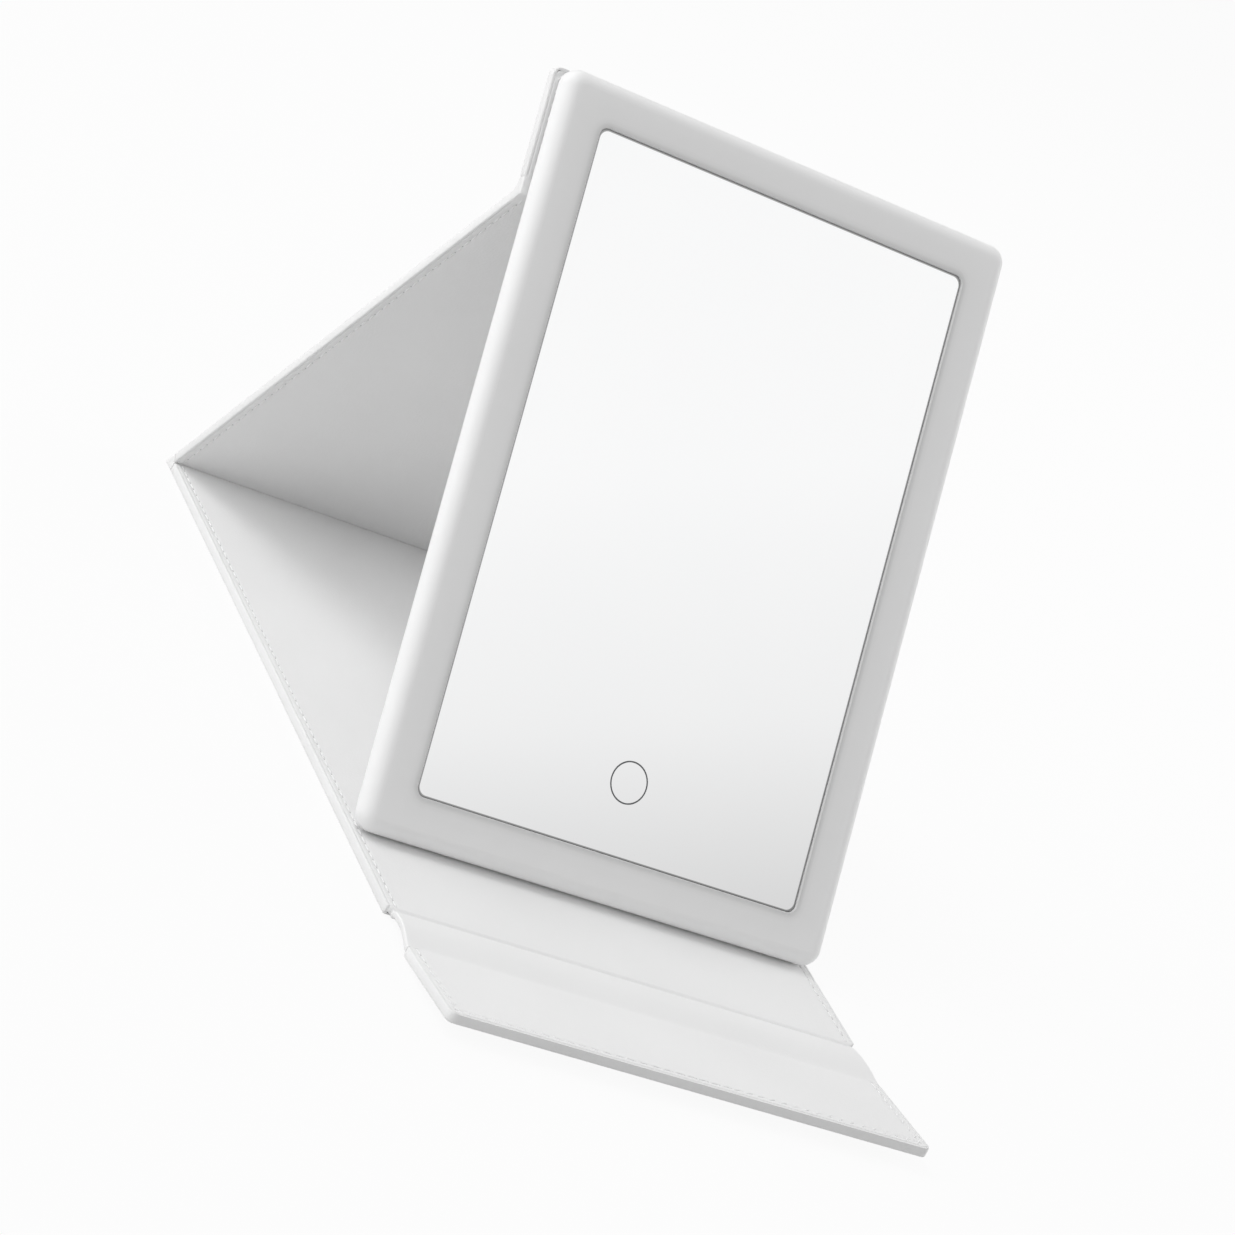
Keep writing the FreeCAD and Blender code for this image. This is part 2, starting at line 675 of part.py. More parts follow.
strip_floor = "-tray_front"
strips = {
    "light_strip_left": ("-strip_centre", "middle_height", "strip_width", "side_strip_length"),
    "light_strip_right": ("strip_centre", "middle_height", "strip_width", "side_strip_length"),
    "light_strip_bottom": ("0", "middle_height - strip_centre_along", "end_strip_length", "strip_width"),
    "light_strip_top": ("0", "middle_height + strip_centre_along", "end_strip_length", "strip_width"),
}
chips = []
for node, (across, along, width, length) in strips.items():
    strip = plate(node, (across, along, strip_floor), width, length, "strip_thickness")
    add_node(strip, node, "mirror")
    upright = width == "strip_width"
    run = length if upright else width
    count = int(value(run) // value("chip_pitch"))
    chip_size = ("chip_width", "chip_length") if upright else ("chip_length", "chip_width")
    for number in range(count):
        step = f"({number} - {(count - 1) / 2}) * chip_pitch"
        x = across if upright else f"{across} + {step}"
        y = f"{along} + {step}" if upright else along
        low = (f"{x} - {chip_size[0]} / 2", f"{y} - {chip_size[1]} / 2", f"{strip_floor} + strip_thickness")
        chips.append(block("Chip", low, (chip_size[0], chip_size[1], "chip_height")))
add_node(group("Part::Compound", "light_chips", chips), "light_chips", "mirror")

# Battery, taped to the back of the tray

battery_middle = "battery_rise + battery_length / 2"
battery = plate("battery", ("0", battery_middle, "-battery_back"),
                "battery_width", "battery_length", "battery_thickness", "battery_corner")
add_node(battery, "battery", "mirror")
battery_tape = plate("battery_tape", ("0", battery_middle, "-battery_front"),
                     "battery_width - 2 * battery_tape_inset",
                     "battery_length - 2 * battery_tape_inset", "battery_tape_thickness")
add_node(battery_tape, "battery_tape", "mirror")

# Circuit board on the standoffs, with the charging port sunk in its right edge

board = plate("main_board", ("board_right - board_width / 2", "port_rise", "-board_back"),
              "board_width", "board_length", "board_thickness")
board_notch = new_sketch(board, "PortNotch", ("notch_centre", "port_rise", "-board_front"))
draw_rectangle(board_notch, "notch_depth + 2 * tray_gap", "port_width + 2 * port_gap")
pocket(board, board_notch, "board_thickness")
board_holes = new_sketch(board, "ScrewHoles", ("0", "0", "-board_front"))
draw_circles(board_holes, standoff_places, "screw_radius + screw_gap")
pocket(board, board_holes, "board_thickness")
add_node(board, "main_board", "mirror")

board_middle = "board_right - board_width / 2"
controller_low = (
    f"{board_middle} - controller_side / 2",
    "port_rise - controller_side / 2",
    "-board_back - controller_height",
)
coil_low = (
    f"{board_middle} + controller_side",
    "port_rise - coil_side / 2",
    "-board_back - coil_height",
)
plug_floor = "-board_back - plug_height"
plug_size = ("plug_length", "plug_width", "plug_height")
components = [
    block("Controller", controller_low, ("controller_side", "controller_side", "controller_height")),
    block("Coil", coil_low, ("coil_side", "coil_side", "coil_height")),
    block("BatteryPlug", ("plug_left", "board_top - plug_width", plug_floor), plug_size),
    block("LightPlug", ("light_plug_left", "board_top - plug_width", plug_floor), plug_size),
    block("TouchPlug", ("plug_left", "board_rise", plug_floor), plug_size),
]
add_node(group("Part::Compound", "board_components", components), "board_components", "mirror")

port = new_body("charging_port")
shell = new_sketch(port, "Shell", ("port_rise", "-port_middle", "port_mouth - port_length"), "YZ_Plane")
draw_rectangle(shell, "port_width", "port_height", "port_corner")
pad(port, shell, "port_length")
socket = new_sketch(port, "Socket", ("port_rise", "-port_middle", "port_mouth"), "YZ_Plane")
draw_rectangle(socket, "port_width - 2 * port_wall", "port_height - 2 * port_wall",
               "port_corner - port_wall")
pocket(port, socket, "port_socket")
tongue = new_sketch(port, "Tongue", ("port_rise", "-port_middle", "port_mouth - port_socket"), "YZ_Plane")
draw_rectangle(tongue, "port_tongue_width", "port_tongue_height")
pad(port, tongue, "port_socket - 2 * port_wall")
add_node(port, "charging_port", "mirror")

# Rear cover, dropped into the back of the frame, with a raised platform that the case is taped to

cover = plate("rear_cover", ("0", "middle_height", "-rim_depth"), "cavity_width - 2 * cover_gap",
              "cavity_height - 2 * cover_gap", "cover_thickness", "cavity_corner")
platform = new_sketch(cover, "Platform", ("0", "middle_height", "-platform_back"))
draw_rectangle(platform, "platform_width", "platform_length", "platform_corner")
raised = pad(cover, platform, "platform_height")
fillet(cover, raised, edges_where(raised, lambda p: near(p.z, -value("platform_back"))), "platform_round")
hollow = new_sketch(cover, "Hollow", ("0", "middle_height", "-cover_front"))
draw_rectangle(hollow, "platform_width - 2 * cover_thickness", "platform_length - 2 * cover_thickness",
               "platform_corner - cover_thickness")
pocket(cover, hollow, "platform_height")
screw_holes = new_sketch(cover, "ScrewHoles", ("0", "middle_height", "-cover_front"))
draw_circles(screw_holes, boss_places, "screw_radius + screw_gap")
pocket(cover, screw_holes, "cover_thickness")
sinks = new_sketch(cover, "HeadSinks", ("0", "middle_height", "-rim_depth"))
draw_circles(sinks, boss_places, "screw_head_radius + screw_gap")
pocket(cover, sinks, "screw_head_height", upward=True)
add_node(cover, "rear_cover", "mirror")

tape_low = f"({fixed_low} + mounting_tape_margin)"
tape_high = "(middle_height + platform_length / 2 - platform_round - mounting_tape_end)"
mounting_tape = plate("mounting_tape", ("0", f"({tape_low} + {tape_high}) / 2", "-panel_front"),
                      "platform_width - 2 * mounting_tape_margin", f"{tape_high} - {tape_low}",
                      "mounting_tape_thickness")
add_node(mounting_tape, "mounting_tape", "mirror")


# Screws, each a shank and a flat head that bears towards the front

def make_screws(node, places, seat, rest_height, bite):
    screws = []
    for across, along in places:
        shank = rod("Shank", (across, along, f"-({seat})"), "screw_radius", bite)
        head = rod("Head", (across, along, f"-({seat}) - screw_head_height + ({rest_height})"),
                   "screw_head_radius", "screw_head_height")
        screws.append(group("Part::MultiFuse", "Screw", [shank, head]))
    add_node(group("Part::Compound", node, screws), node, "mirror")


cover_places = [(across, f"middle_height + {along}") for across, along in boss_places]
make_screws("cover_screws", cover_places, "rim_depth", "screw_head_height", "cover_thickness + screw_bite")
board_bite = "board_thickness + standoff_height + tray_thickness"
make_screws("board_screws", standoff_places, "board_back", "0", board_bite)


# Leads inside the housing: pairs of round wires with bent corners

def wire(points):
    """One lead along straight runs joined by tangent arcs."""
    corners = [FreeCAD.Vector(*(value(part) for part in point)) for point in points]
    bend = value("lead_bend")
    edges = []
    start = corners[0]
    for before, corner, after in zip(corners, corners[1:], corners[2:]):
        back = (before - corner).normalize()
        ahead = (after - corner).normalize()
        enter = corner + back * bend
        leave = corner + ahead * bend
        inward = (back + ahead).normalize()
        half = back.getAngle(inward)
        reach = bend / math.cos(half)
        radius = bend * math.tan(half)
        edges.append(Part.LineSegment(start, enter).toShape())
        edges.append(Part.Arc(enter, corner + inward * (reach - radius), leave).toShape())
        start = leave
    edges.append(Part.LineSegment(start, corners[-1]).toShape())
    path = Part.Wire(edges)
    ring_shape = Part.Circle(corners[0], corners[1] - corners[0], value("lead_radius")).toShape()
    return path.makePipeShell([Part.Wire([ring_shape])], True, False)


def make_leads(node, routes):
    leads = doc.addObject("Part::Feature", node)
    leads.Shape = Part.makeCompound([wire(route) for route in routes])
    add_node(leads, node, "mirror")


lead_level = "-board_back - plug_height / 2"
battery_routes = []
light_routes = []
touch_routes = []
for side in ("-1", "1"):
    aside = f"{side} * lead_spacing / 2"
    across = f"plug_left + plug_length / 2 + {aside}"
    battery_routes.append([
        (across, "board_top", lead_level),
        (across, "battery_rise", lead_level),
    ])
    along = f"ring_height + sensor_radius / 2 - {aside}"
    touch_routes.append([
        (across, "board_rise", lead_level),
        (across, along, lead_level),
        ("0", along, lead_level),
        ("0", along, "-glass_back - sensor_thickness"),
    ])
    across = f"light_plug_left + plug_length / 2 + {aside}"
    along = f"board_top + lead_run - {aside}"
    light_routes.append([
        (across, "board_top", lead_level),
        (across, along, lead_level),
        ("platform_width / 2 - plug_length", along, lead_level),
        ("platform_width / 2 - plug_length", along, "-tray_back"),
    ])
make_leads("battery_leads", battery_routes)
make_leads("light_leads", light_routes)
make_leads("touch_leads", touch_routes)

# Every object has to be sound before anything is written

doc.recompute()
for item in doc.Objects:
    if "Invalid" in item.State or "Error" in item.State:
        raise ValueError(f"{item.Label}: {item.State}")
os.makedirs("parts", exist_ok=True)
for node, piece in nodes.items():
    if piece.Shape.isNull() or not piece.Shape.isValid():
        raise ValueError(f"{node} has no sound shape")
for node, piece in nodes.items():
    piece.Shape.exportStep(f"parts/{node}.step")
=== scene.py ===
import math

import bmesh
import bpy
from mathutils import Matrix, Vector


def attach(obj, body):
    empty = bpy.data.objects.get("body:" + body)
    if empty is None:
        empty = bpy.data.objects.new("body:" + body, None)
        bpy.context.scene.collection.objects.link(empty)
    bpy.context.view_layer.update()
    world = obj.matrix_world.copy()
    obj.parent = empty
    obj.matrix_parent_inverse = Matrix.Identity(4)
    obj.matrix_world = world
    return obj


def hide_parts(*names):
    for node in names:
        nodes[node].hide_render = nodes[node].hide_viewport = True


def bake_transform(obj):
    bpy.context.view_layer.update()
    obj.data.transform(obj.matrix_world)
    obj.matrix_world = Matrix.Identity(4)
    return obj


# Lighted makeup mirror in a folding leather case, standing as an easel.
# The sections follow its making: leather, panels, hinges, stitching, then the mirror from front to back.

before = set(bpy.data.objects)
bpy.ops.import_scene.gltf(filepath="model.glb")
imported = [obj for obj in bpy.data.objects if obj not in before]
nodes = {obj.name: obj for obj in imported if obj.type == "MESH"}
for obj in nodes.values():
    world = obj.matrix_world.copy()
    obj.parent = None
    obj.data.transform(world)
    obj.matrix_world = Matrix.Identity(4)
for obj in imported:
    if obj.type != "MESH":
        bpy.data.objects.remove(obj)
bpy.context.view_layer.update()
MM = 0.001


# Leather
# White synthetic leather with a fine pressed grain. The outer skin is grained, the lining smoother.
# The grain is one shader group, placed in each leather with its own cell size.

def new_socket(tree, name, direction, kind, default=None):
    """Add a socket to a node group."""
    socket = tree.interface.new_socket(name=name, in_out=direction, socket_type=kind)
    if default is not None:
        socket.default_value = default


def leather_grain_group():
    """Cells of pressed grain, with soft waves under them and a faint change of tone."""
    tree = bpy.data.node_groups.new("leather_grain", "ShaderNodeTree")
    new_socket(tree, "Cell", "INPUT", "NodeSocketFloat", 900.0)
    new_socket(tree, "Wave", "INPUT", "NodeSocketFloat", 30.0)
    new_socket(tree, "Height", "OUTPUT", "NodeSocketFloat")
    new_socket(tree, "Tone", "OUTPUT", "NodeSocketFloat")
    entry = tree.nodes.new("NodeGroupInput")
    leave = tree.nodes.new("NodeGroupOutput")
    place = tree.nodes.new("ShaderNodeTexCoord")
    warp = tree.nodes.new("ShaderNodeTexNoise")
    warp.inputs["Scale"].default_value = 260.0
    warp.inputs["Detail"].default_value = 2.0
    push = tree.nodes.new("ShaderNodeVectorMath")
    push.operation = "MULTIPLY_ADD"
    push.inputs[1].default_value = (0.0012, 0.0012, 0.0012)
    cells = tree.nodes.new("ShaderNodeTexVoronoi")
    cells.feature = "SMOOTH_F1"
    cells.inputs["Smoothness"].default_value = 0.6
    waves = tree.nodes.new("ShaderNodeTexNoise")
    waves.inputs["Detail"].default_value = 1.0
    rise = tree.nodes.new("ShaderNodeMath")
    rise.operation = "MULTIPLY_ADD"
    rise.inputs[1].default_value = 3.0
    tone = tree.nodes.new("ShaderNodeMapRange")
    tone.inputs["From Min"].default_value = 0.3
    tone.inputs["From Max"].default_value = 0.7
    link = tree.links.new
    link(place.outputs["Object"], warp.inputs["Vector"])
    link(warp.outputs["Color"], push.inputs[0])
    link(place.outputs["Object"], push.inputs[2])
    link(push.outputs["Vector"], cells.inputs["Vector"])
    link(entry.outputs["Cell"], cells.inputs["Scale"])
    link(place.outputs["Object"], waves.inputs["Vector"])
    link(entry.outputs["Wave"], waves.inputs["Scale"])
    link(waves.outputs["Fac"], rise.inputs[0])
    link(cells.outputs["Distance"], rise.inputs[2])
    link(rise.outputs["Value"], leave.inputs["Height"])
    link(waves.outputs["Fac"], tone.inputs["Value"])
    link(tone.outputs["Result"], leave.inputs["Tone"])
    return tree


leather_grain = leather_grain_group()


def new_material(name):
    """A material, its shader and a short way to link its nodes."""
    material = bpy.data.materials.new(name)
    material.use_nodes = True
    shader = material.node_tree.nodes["Principled BSDF"]
    return material, material.node_tree.nodes, material.node_tree.links.new, shader


def tone_ramp(tree_nodes, low, high):
    """A colour ramp between two tones."""
    ramp = tree_nodes.new("ShaderNodeValToRGB")
    ramp.color_ramp.elements[0].color = (*low, 1)
    ramp.color_ramp.elements[1].color = (*high, 1)
    return ramp


def leather(name, cell, wave, low, high, roughness, depth):
    """A leather with its own grain, tones, gloss and depth of grain."""
    material, tree, link, shader = new_material(name)
    grain = tree.new("ShaderNodeGroup")
    grain.node_tree = leather_grain
    grain.inputs["Cell"].default_value = cell
    grain.inputs["Wave"].default_value = wave
    ramp = tone_ramp(tree, low, high)
    bump = tree.new("ShaderNodeBump")
    bump.inputs["Strength"].default_value = 0.5
    bump.inputs["Distance"].default_value = depth
    gloss = tree.new("ShaderNodeMapRange")
    gloss.inputs["To Min"].default_value = roughness - 0.06
    gloss.inputs["To Max"].default_value = roughness + 0.06
    link(grain.outputs["Tone"], ramp.inputs["Fac"])
    link(ramp.outputs["Color"], shader.inputs["Base Color"])
    link(grain.outputs["Height"], bump.inputs["Height"])
    link(bump.outputs["Normal"], shader.inputs["Normal"])
    link(grain.outputs["Tone"], gloss.inputs["Value"])
    link(gloss.outputs["Result"], shader.inputs["Roughness"])
    shader.inputs["Specular IOR Level"].default_value = 0.35
    return material


outer_leather = leather("outer_leather", 900, 40, (0.82, 0.82, 0.82), (0.85, 0.85, 0.85), 0.50, 0.00010)
lining_leather = leather("lining_leather", 1300, 22, (0.87, 0.87, 0.87), (0.89, 0.89, 0.89), 0.55, 0.00008)


# Panels
# Each stiff panel is a board between an outer skin, whose edges turn up round it, and a lining.
# A sheet is lofted through cross-sections along the case, so edges, seams and hinge grooves are real shapes.

CASE_HALF = 75.75
PANEL = 3.0
SKIN = 0.8
LINING = 0.7
RIM = 0.95
EDGE = 0.7
TOP_EDGE = 0.4
CORNER = 2.5
SEAM_INSET = 2.75
SEAM_DEPTH = 0.16


def stand(origin_y, origin_z, turn):
    """How a panel drawn flat in millimetres stands: x across, v along the case, w up from the outer face."""
    cos = math.cos(math.radians(turn))
    sin = math.sin(math.radians(turn))

    def place(x, v, w):
        return Vector((x, origin_y + v * cos - w * sin, origin_z + v * sin + w * cos)) * MM
    return place


def loft(name, rings, place, material):
    """A closed mesh through rings of points, capped at both ends."""
    bm = bmesh.new()
    rows = [[bm.verts.new(place(*point)) for point in ring] for ring in rings]
    count = len(rows[0])
    for row, after in zip(rows, rows[1:]):
        for index in range(count):
            side = (index + 1) % count
            bm.faces.new((row[index], row[side], after[side], after[index]))
    bm.faces.new(rows[0])
    bm.faces.new(rows[-1])
    bmesh.ops.recalc_face_normals(bm, faces=bm.faces)
    mesh = bpy.data.meshes.new(name)
    bm.to_mesh(mesh)
    bm.free()
    mesh.shade_smooth()
    mesh.set_sharp_from_angle(angle=math.radians(40))
    mesh.materials.append(material)
    piece = bpy.data.objects.new(name, mesh)
    bpy.context.scene.collection.objects.link(piece)
    return piece


def round_drop(distance, radius):
    """How far a rounded edge drops at a distance inside its outline."""
    if distance >= radius:
        return 0.0
    return radius - math.sqrt(radius * radius - (radius - distance) ** 2)


def seam_drop(distance):
    """The shallow groove that a row of stitches pulls into the leather."""
    off = (distance - SEAM_INSET) / 0.55
    return SEAM_DEPTH * math.exp(-off * off)


SIDE_STEPS = (3.9, 3.4, 3.1, 2.75, 2.4, 2.1, 1.6)
ROUND_STEPS = (1.0, 0.66, 0.36, 0.14, 0.02)
SKIN_FREE_STEPS = (0.0, 0.02, 0.1, 0.25, 0.46, 0.7, 0.94, 0.96, 1.3, 1.8, 2.1, 2.4, 2.75, 3.1, 3.4, 3.9, 7.0)
SKIN_FLUSH_STEPS = (0.0, 0.08, 0.3, 0.8)
SKIN_ROUNDED_STEPS = (0.0, 0.1, 0.3, 0.8)
LINING_FREE_STEPS = (0.0, 0.03, 0.1, 0.2, 0.3, 0.65, 1.15, 1.45, 1.8, 2.15, 2.45, 2.95, 6.0)
LINING_FLUSH_STEPS = (0.0, 0.5, 1.0)
AWAY_FROM_END = 9.0


def tray_ring(v, half, floor, height, inner, end, lift, sink):
    """A cross-section of an outer skin: a floor with turned-up sides. `end` is how near a free end is."""
    right = []
    for inset in (half, half / 2, *SIDE_STEPS, *(step * EDGE for step in ROUND_STEPS)):
        drop = round_drop(inset, EDGE) + seam_drop(max(min(inset, end), 0))
        if inset > SEAM_INSET and end > 6:
            drop = seam_drop(inset)
        right.append((half - inset, floor + drop + lift))
    for step in reversed(ROUND_STEPS):
        inset = step * TOP_EDGE
        right.append((half - inset, height - round_drop(inset, TOP_EDGE) - sink))
    right.append((half - RIM + 0.06, height - 0.02 - sink))
    right.append((half - RIM, height - 0.14 - sink))
    right.append((half - RIM, inner))
    right.append((half / 2, inner))
    ring = [(x, v, w) for x, w in right]
    ring.append((0.0, v, inner))
    ring += [(-x, v, w) for x, w in reversed(right[1:])]
    return ring


def strip_ring(half, outer, inner, seam=None, edge=0.3, under=0.05):
    """A cross-section of a flat strip between its shown and hidden faces, each a point (v, w)."""
    shown = Vector(outer)
    through = Vector(inner) - shown
    thickness = through.length
    through.normalize()
    edge = min(edge, thickness / 2.2)
    under = min(under, thickness / 2.2)
    right = [(0.0, 0.0), (half / 2, 0.0)]
    for inset in SIDE_STEPS:
        right.append((half - inset + RIM, seam(inset) if seam else 0.0))
    for step in ROUND_STEPS:
        inset = step * edge
        right.append((half - inset, round_drop(inset, edge)))
    for step in reversed(ROUND_STEPS):
        inset = step * under
        right.append((half - inset, thickness - round_drop(inset, under)))
    right.append((half / 2, thickness))
    right.append((0.0, thickness))
    ring = []
    for x, depth in right:
        spot = shown + through * depth
        ring.append((x, spot.x, spot.y))
    for x, depth in reversed(right[1:-1]):
        spot = shown + through * depth
        ring.append((-x, spot.x, spot.y))
    return ring


def outer_skin(name, place, low, high, low_end, high_end, floor=0.0):
    """An outer skin between two distances along the case. Each end is free, flush, or rounded underneath."""
    top = floor + PANEL
    inner = floor + SKIN + 0.03
    groups = []
    for end, at, inward in ((low_end, low, 1), (high_end, high, -1)):
        group = []
        if end == "free":
            for step in SKIN_FREE_STEPS:
                half = CASE_HALF - round_drop(step, CORNER)
                solid = top - 0.14 if step < RIM else inner
                group.append(tray_ring(at + inward * step, half, floor, top, solid, step,
                                       round_drop(step, EDGE), round_drop(step, TOP_EDGE)))
        else:
            for step in SKIN_FLUSH_STEPS if end == "flush" else SKIN_ROUNDED_STEPS:
                drop = round_drop(step, EDGE)
                under = floor if end == "flush" else floor + drop
                group.append(tray_ring(at + inward * step, CASE_HALF - drop, under, top, inner,
                                       AWAY_FROM_END, 0.0, 0.0))
        groups.append(group)
    return loft(name, groups[0] + list(reversed(groups[1])), place, outer_leather)


def lining(name, place, low, high, low_end, high_end, floor=0.0):
    """A lining between two distances along the case. Each end is free or flush."""
    top = floor + PANEL
    under = top - LINING + 0.02
    half = CASE_HALF - RIM
    groups = []
    for end, at, inward in ((low_end, low, 1), (high_end, high, -1)):
        group = []
        if end == "free":
            edge = at + inward * RIM
            for step in LINING_FREE_STEPS:
                drop = round_drop(step, 0.3) + seam_drop(step + RIM)
                width = half - round_drop(step, CORNER - RIM)
                v = edge + inward * step
                group.append(strip_ring(width, (v, top - drop), (v, under), seam_drop))
        else:
            for step in LINING_FLUSH_STEPS:
                v = at + inward * step
                group.append(strip_ring(half, (v, top), (v, under), seam_drop))
        groups.append(group)
    return loft(name, groups[0] + list(reversed(groups[1])), place, lining_leather)


# Base panel
# The panel that lies on the table, from the front groove to the rear fold.
# Its outer skin is rounded under the front groove. At the rear fold the hinge leather takes over.

BASE_LOW = -120.35
BASE_HIGH = 115.63
base_place = stand(0, 0, 0)
base_skin = outer_skin("base_outer_leather", base_place, BASE_LOW, BASE_HIGH, "rounded", "flush")
base_lining = lining("base_lining_leather", base_place, BASE_LOW, BASE_HIGH, "flush", "flush")
for piece, node, slot in (
    (base_skin, "base_outer_skin", "leather_outer"),
    (base_lining, "base_lining", "leather_lining"),
):
    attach(piece, "base")
    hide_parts(node)


# Strut
# The long panel that leans forward from the rear fold and carries the mirror from its top fold.
# Same build as the base. Skin and lining stop short of the top fold, where the hinge leather bends.

STRUT_LOW = 5.372
STRUT_HIGH = 187.988
STRUT_TURN = 125.72121
BEND = 2.5
strut_place = stand(121.32475, 0.63352, STRUT_TURN)
strut_skin = outer_skin("strut_outer_leather", strut_place, STRUT_LOW, STRUT_HIGH - BEND, "flush", "flush")
strut_lining = lining("strut_lining_leather", strut_place, STRUT_LOW, STRUT_HIGH - BEND, "flush", "flush")
for piece, node, slot in (
    (strut_skin, "strut_outer_skin", "leather_outer"),
    (strut_lining, "strut_lining", "leather_lining"),
):
    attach(piece, "strut")
    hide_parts(node)


# Fixed panel
# The short panel taped to the back of the mirror's top, with round corners at its free end.
# It moves with the mirror.

FOOT_Y = -89.21641
FOOT_Z = 6.0359
MIRROR_TURN = 60.0
FIXED_LOW = 178.312
FIXED_HIGH = 212.6
FIXED_FLOOR = -13.4
mirror_place = stand(FOOT_Y, FOOT_Z, MIRROR_TURN)
fixed_skin = outer_skin("fixed_panel_outer_leather", mirror_place, FIXED_LOW + BEND, FIXED_HIGH,
                        "flush", "free", FIXED_FLOOR)
fixed_lining = lining("fixed_panel_lining_leather", mirror_place, FIXED_LOW + BEND, FIXED_HIGH,
                      "flush", "free", FIXED_FLOOR)
for piece, node, slot in (
    (fixed_skin, "fixed_panel_outer_skin", "leather_outer"),
    (fixed_lining, "fixed_panel_lining", "leather_lining"),
):
    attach(piece, "mirror")
    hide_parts(node)


# Closing flap
# The short panel in front, which folds up over the closed case and holds by its magnets.
# It rests with its front edge a little raised.

FLAP_LIFT = 6.0
FLAP_LOW = -34.0
FLAP_HIGH = -0.3
flap_place = stand(-138.777, 0.01452, -FLAP_LIFT)
flap_skin = outer_skin("flap_outer_leather", flap_place, FLAP_LOW, FLAP_HIGH, "free", "rounded")
flap_lining = lining("flap_lining_leather", flap_place, FLAP_LOW, FLAP_HIGH, "free", "flush")
for piece, node, slot in (
    (flap_skin, "flap_outer_skin", "leather_outer"),
    (flap_lining, "flap_lining", "leather_lining"),
):
    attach(piece, "flap")
    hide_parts(node)


# Hinges
# Skin and lining run on together through every fold with no board between them, and bend there.
# At the top fold the outer side bends in one sweep. The spine in front of the base is such a strip
# between two folds, gently arched.

def hinge(name, stations, half_at):
    """A strip of leather through pairs of points (lining side, skin side), in millimetres along the row."""
    rings = []
    for number, (shown, hidden) in enumerate(stations):
        half = half_at(number / (len(stations) - 1))
        rings.append(strip_ring(half, shown, hidden, edge=TOP_EDGE, under=EDGE))
    strip = loft(name, rings, base_place, lining_leather)
    strip.data.materials.append(outer_leather)
    around = len(rings[0])
    shown_faces = 2 + len(SIDE_STEPS) + len(ROUND_STEPS) - 1
    for number in range(around * (len(rings) - 1)):
        side = number % around
        if shown_faces <= side < around - shown_faces:
            strip.data.polygons[number].material_index = 1
    return strip


def row(place, v, w):
    """A panel's point as its distance along the row and height, in millimetres."""
    spot = place(0, v, w)
    return spot.y / MM, spot.z / MM


def fold_points(axis, start, end, radius, count=7):
    """Points on an arc about a fold's axis, from one angle to another."""
    points = []
    for step in range(count):
        angle = math.radians(start + (end - start) * step / (count - 1))
        points.append((axis[0] + radius * math.cos(angle), axis[1] + radius * math.sin(angle)))
    return points


REAR_AXIS = (121.0, 0.4)
REAR_SLOPE = ((BASE_HIGH, 2.99), (116.5, 2.9), (117.3, 2.68), (118.1, 2.36), (118.8, 1.98))
rear_stations = [(spot, (spot[0], 0.0)) for spot in REAR_SLOPE]
rear_valley = (REAR_AXIS[0] - 0.89 * 1.95, REAR_AXIS[1] + 0.456 * 1.95)
for spot in fold_points(REAR_AXIS, -90, STRUT_TURN - 90, 0.4, 9):
    rear_stations.append((rear_valley, spot))
for along, height in reversed(REAR_SLOPE):
    v = REAR_AXIS[0] - along
    rear_stations.append((row(strut_place, v, height), row(strut_place, v, 0.0)))
rear_hinge = hinge("rear_hinge_leather", rear_stations, lambda share: CASE_HALF - 0.03)
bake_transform(rear_hinge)

TOP_AXIS = (8.24336, 153.34118)
AXIS_DEPTH = 0.35
STRUT_AXIS = 190.0
CORNER_SETBACK = 1.712
STRUT_SIDE = (STRUT_HIGH - BEND, 187.0, STRUT_HIGH, 189.0)
FIXED_SIDE = (177.3, FIXED_LOW, 179.3, FIXED_LOW + BEND)
lining_side = [row(strut_place, v, PANEL) for v in STRUT_SIDE]
lining_side += fold_points(TOP_AXIS, STRUT_TURN + 90, MIRROR_TURN + 90, AXIS_DEPTH)
lining_side += [row(mirror_place, v, FIXED_FLOOR + PANEL) for v in FIXED_SIDE]
bend_start = Vector(row(strut_place, STRUT_HIGH - BEND, 0.0))
bend_corner = Vector(row(strut_place, STRUT_AXIS - CORNER_SETBACK, 0.0))
bend_end = Vector(row(mirror_place, FIXED_LOW + BEND, FIXED_FLOOR))
top_stations = []
for number, spot in enumerate(lining_side):
    share = number / (len(lining_side) - 1)
    skin = bend_start.lerp(bend_corner, share).lerp(bend_corner.lerp(bend_end, share), share)
    top_stations.append((spot, tuple(skin)))
top_hinge = hinge("top_hinge_leather", top_stations, lambda share: CASE_HALF - 0.03)
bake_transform(top_hinge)

SPINE_LOW = -138.5
SPINE_HIGH = -121.0
SPINE_ARCH = 0.9
CREASE_DEPTH = 0.7
CREASE_AT = -121.75
SPINE_THICK = 2.0
SPINE_NOTCH = 1.5


def spine_top(v):
    """Height of the spine's lining: a pressed line at the front hinge, then a soft arch to the flap."""
    share = (SPINE_HIGH - v) / (SPINE_HIGH - SPINE_LOW)
    arch = SPINE_ARCH * math.sin(math.pi * min(max(share, 0), 1)) ** 1.3
    off = (v - CREASE_AT) / 0.6
    return PANEL + arch - CREASE_DEPTH * math.exp(-off * off)


def spine_half(v):
    """Half the spine's width, drawn in beside the base and running out to the flap's full width."""
    share = min(max((SPINE_HIGH + 0.4 - v) / (SPINE_HIGH - SPINE_LOW), 0), 1)
    return CASE_HALF - 0.15 - SPINE_NOTCH * math.cos(share * math.pi / 2) * min(1, share * 18 + 0.35)


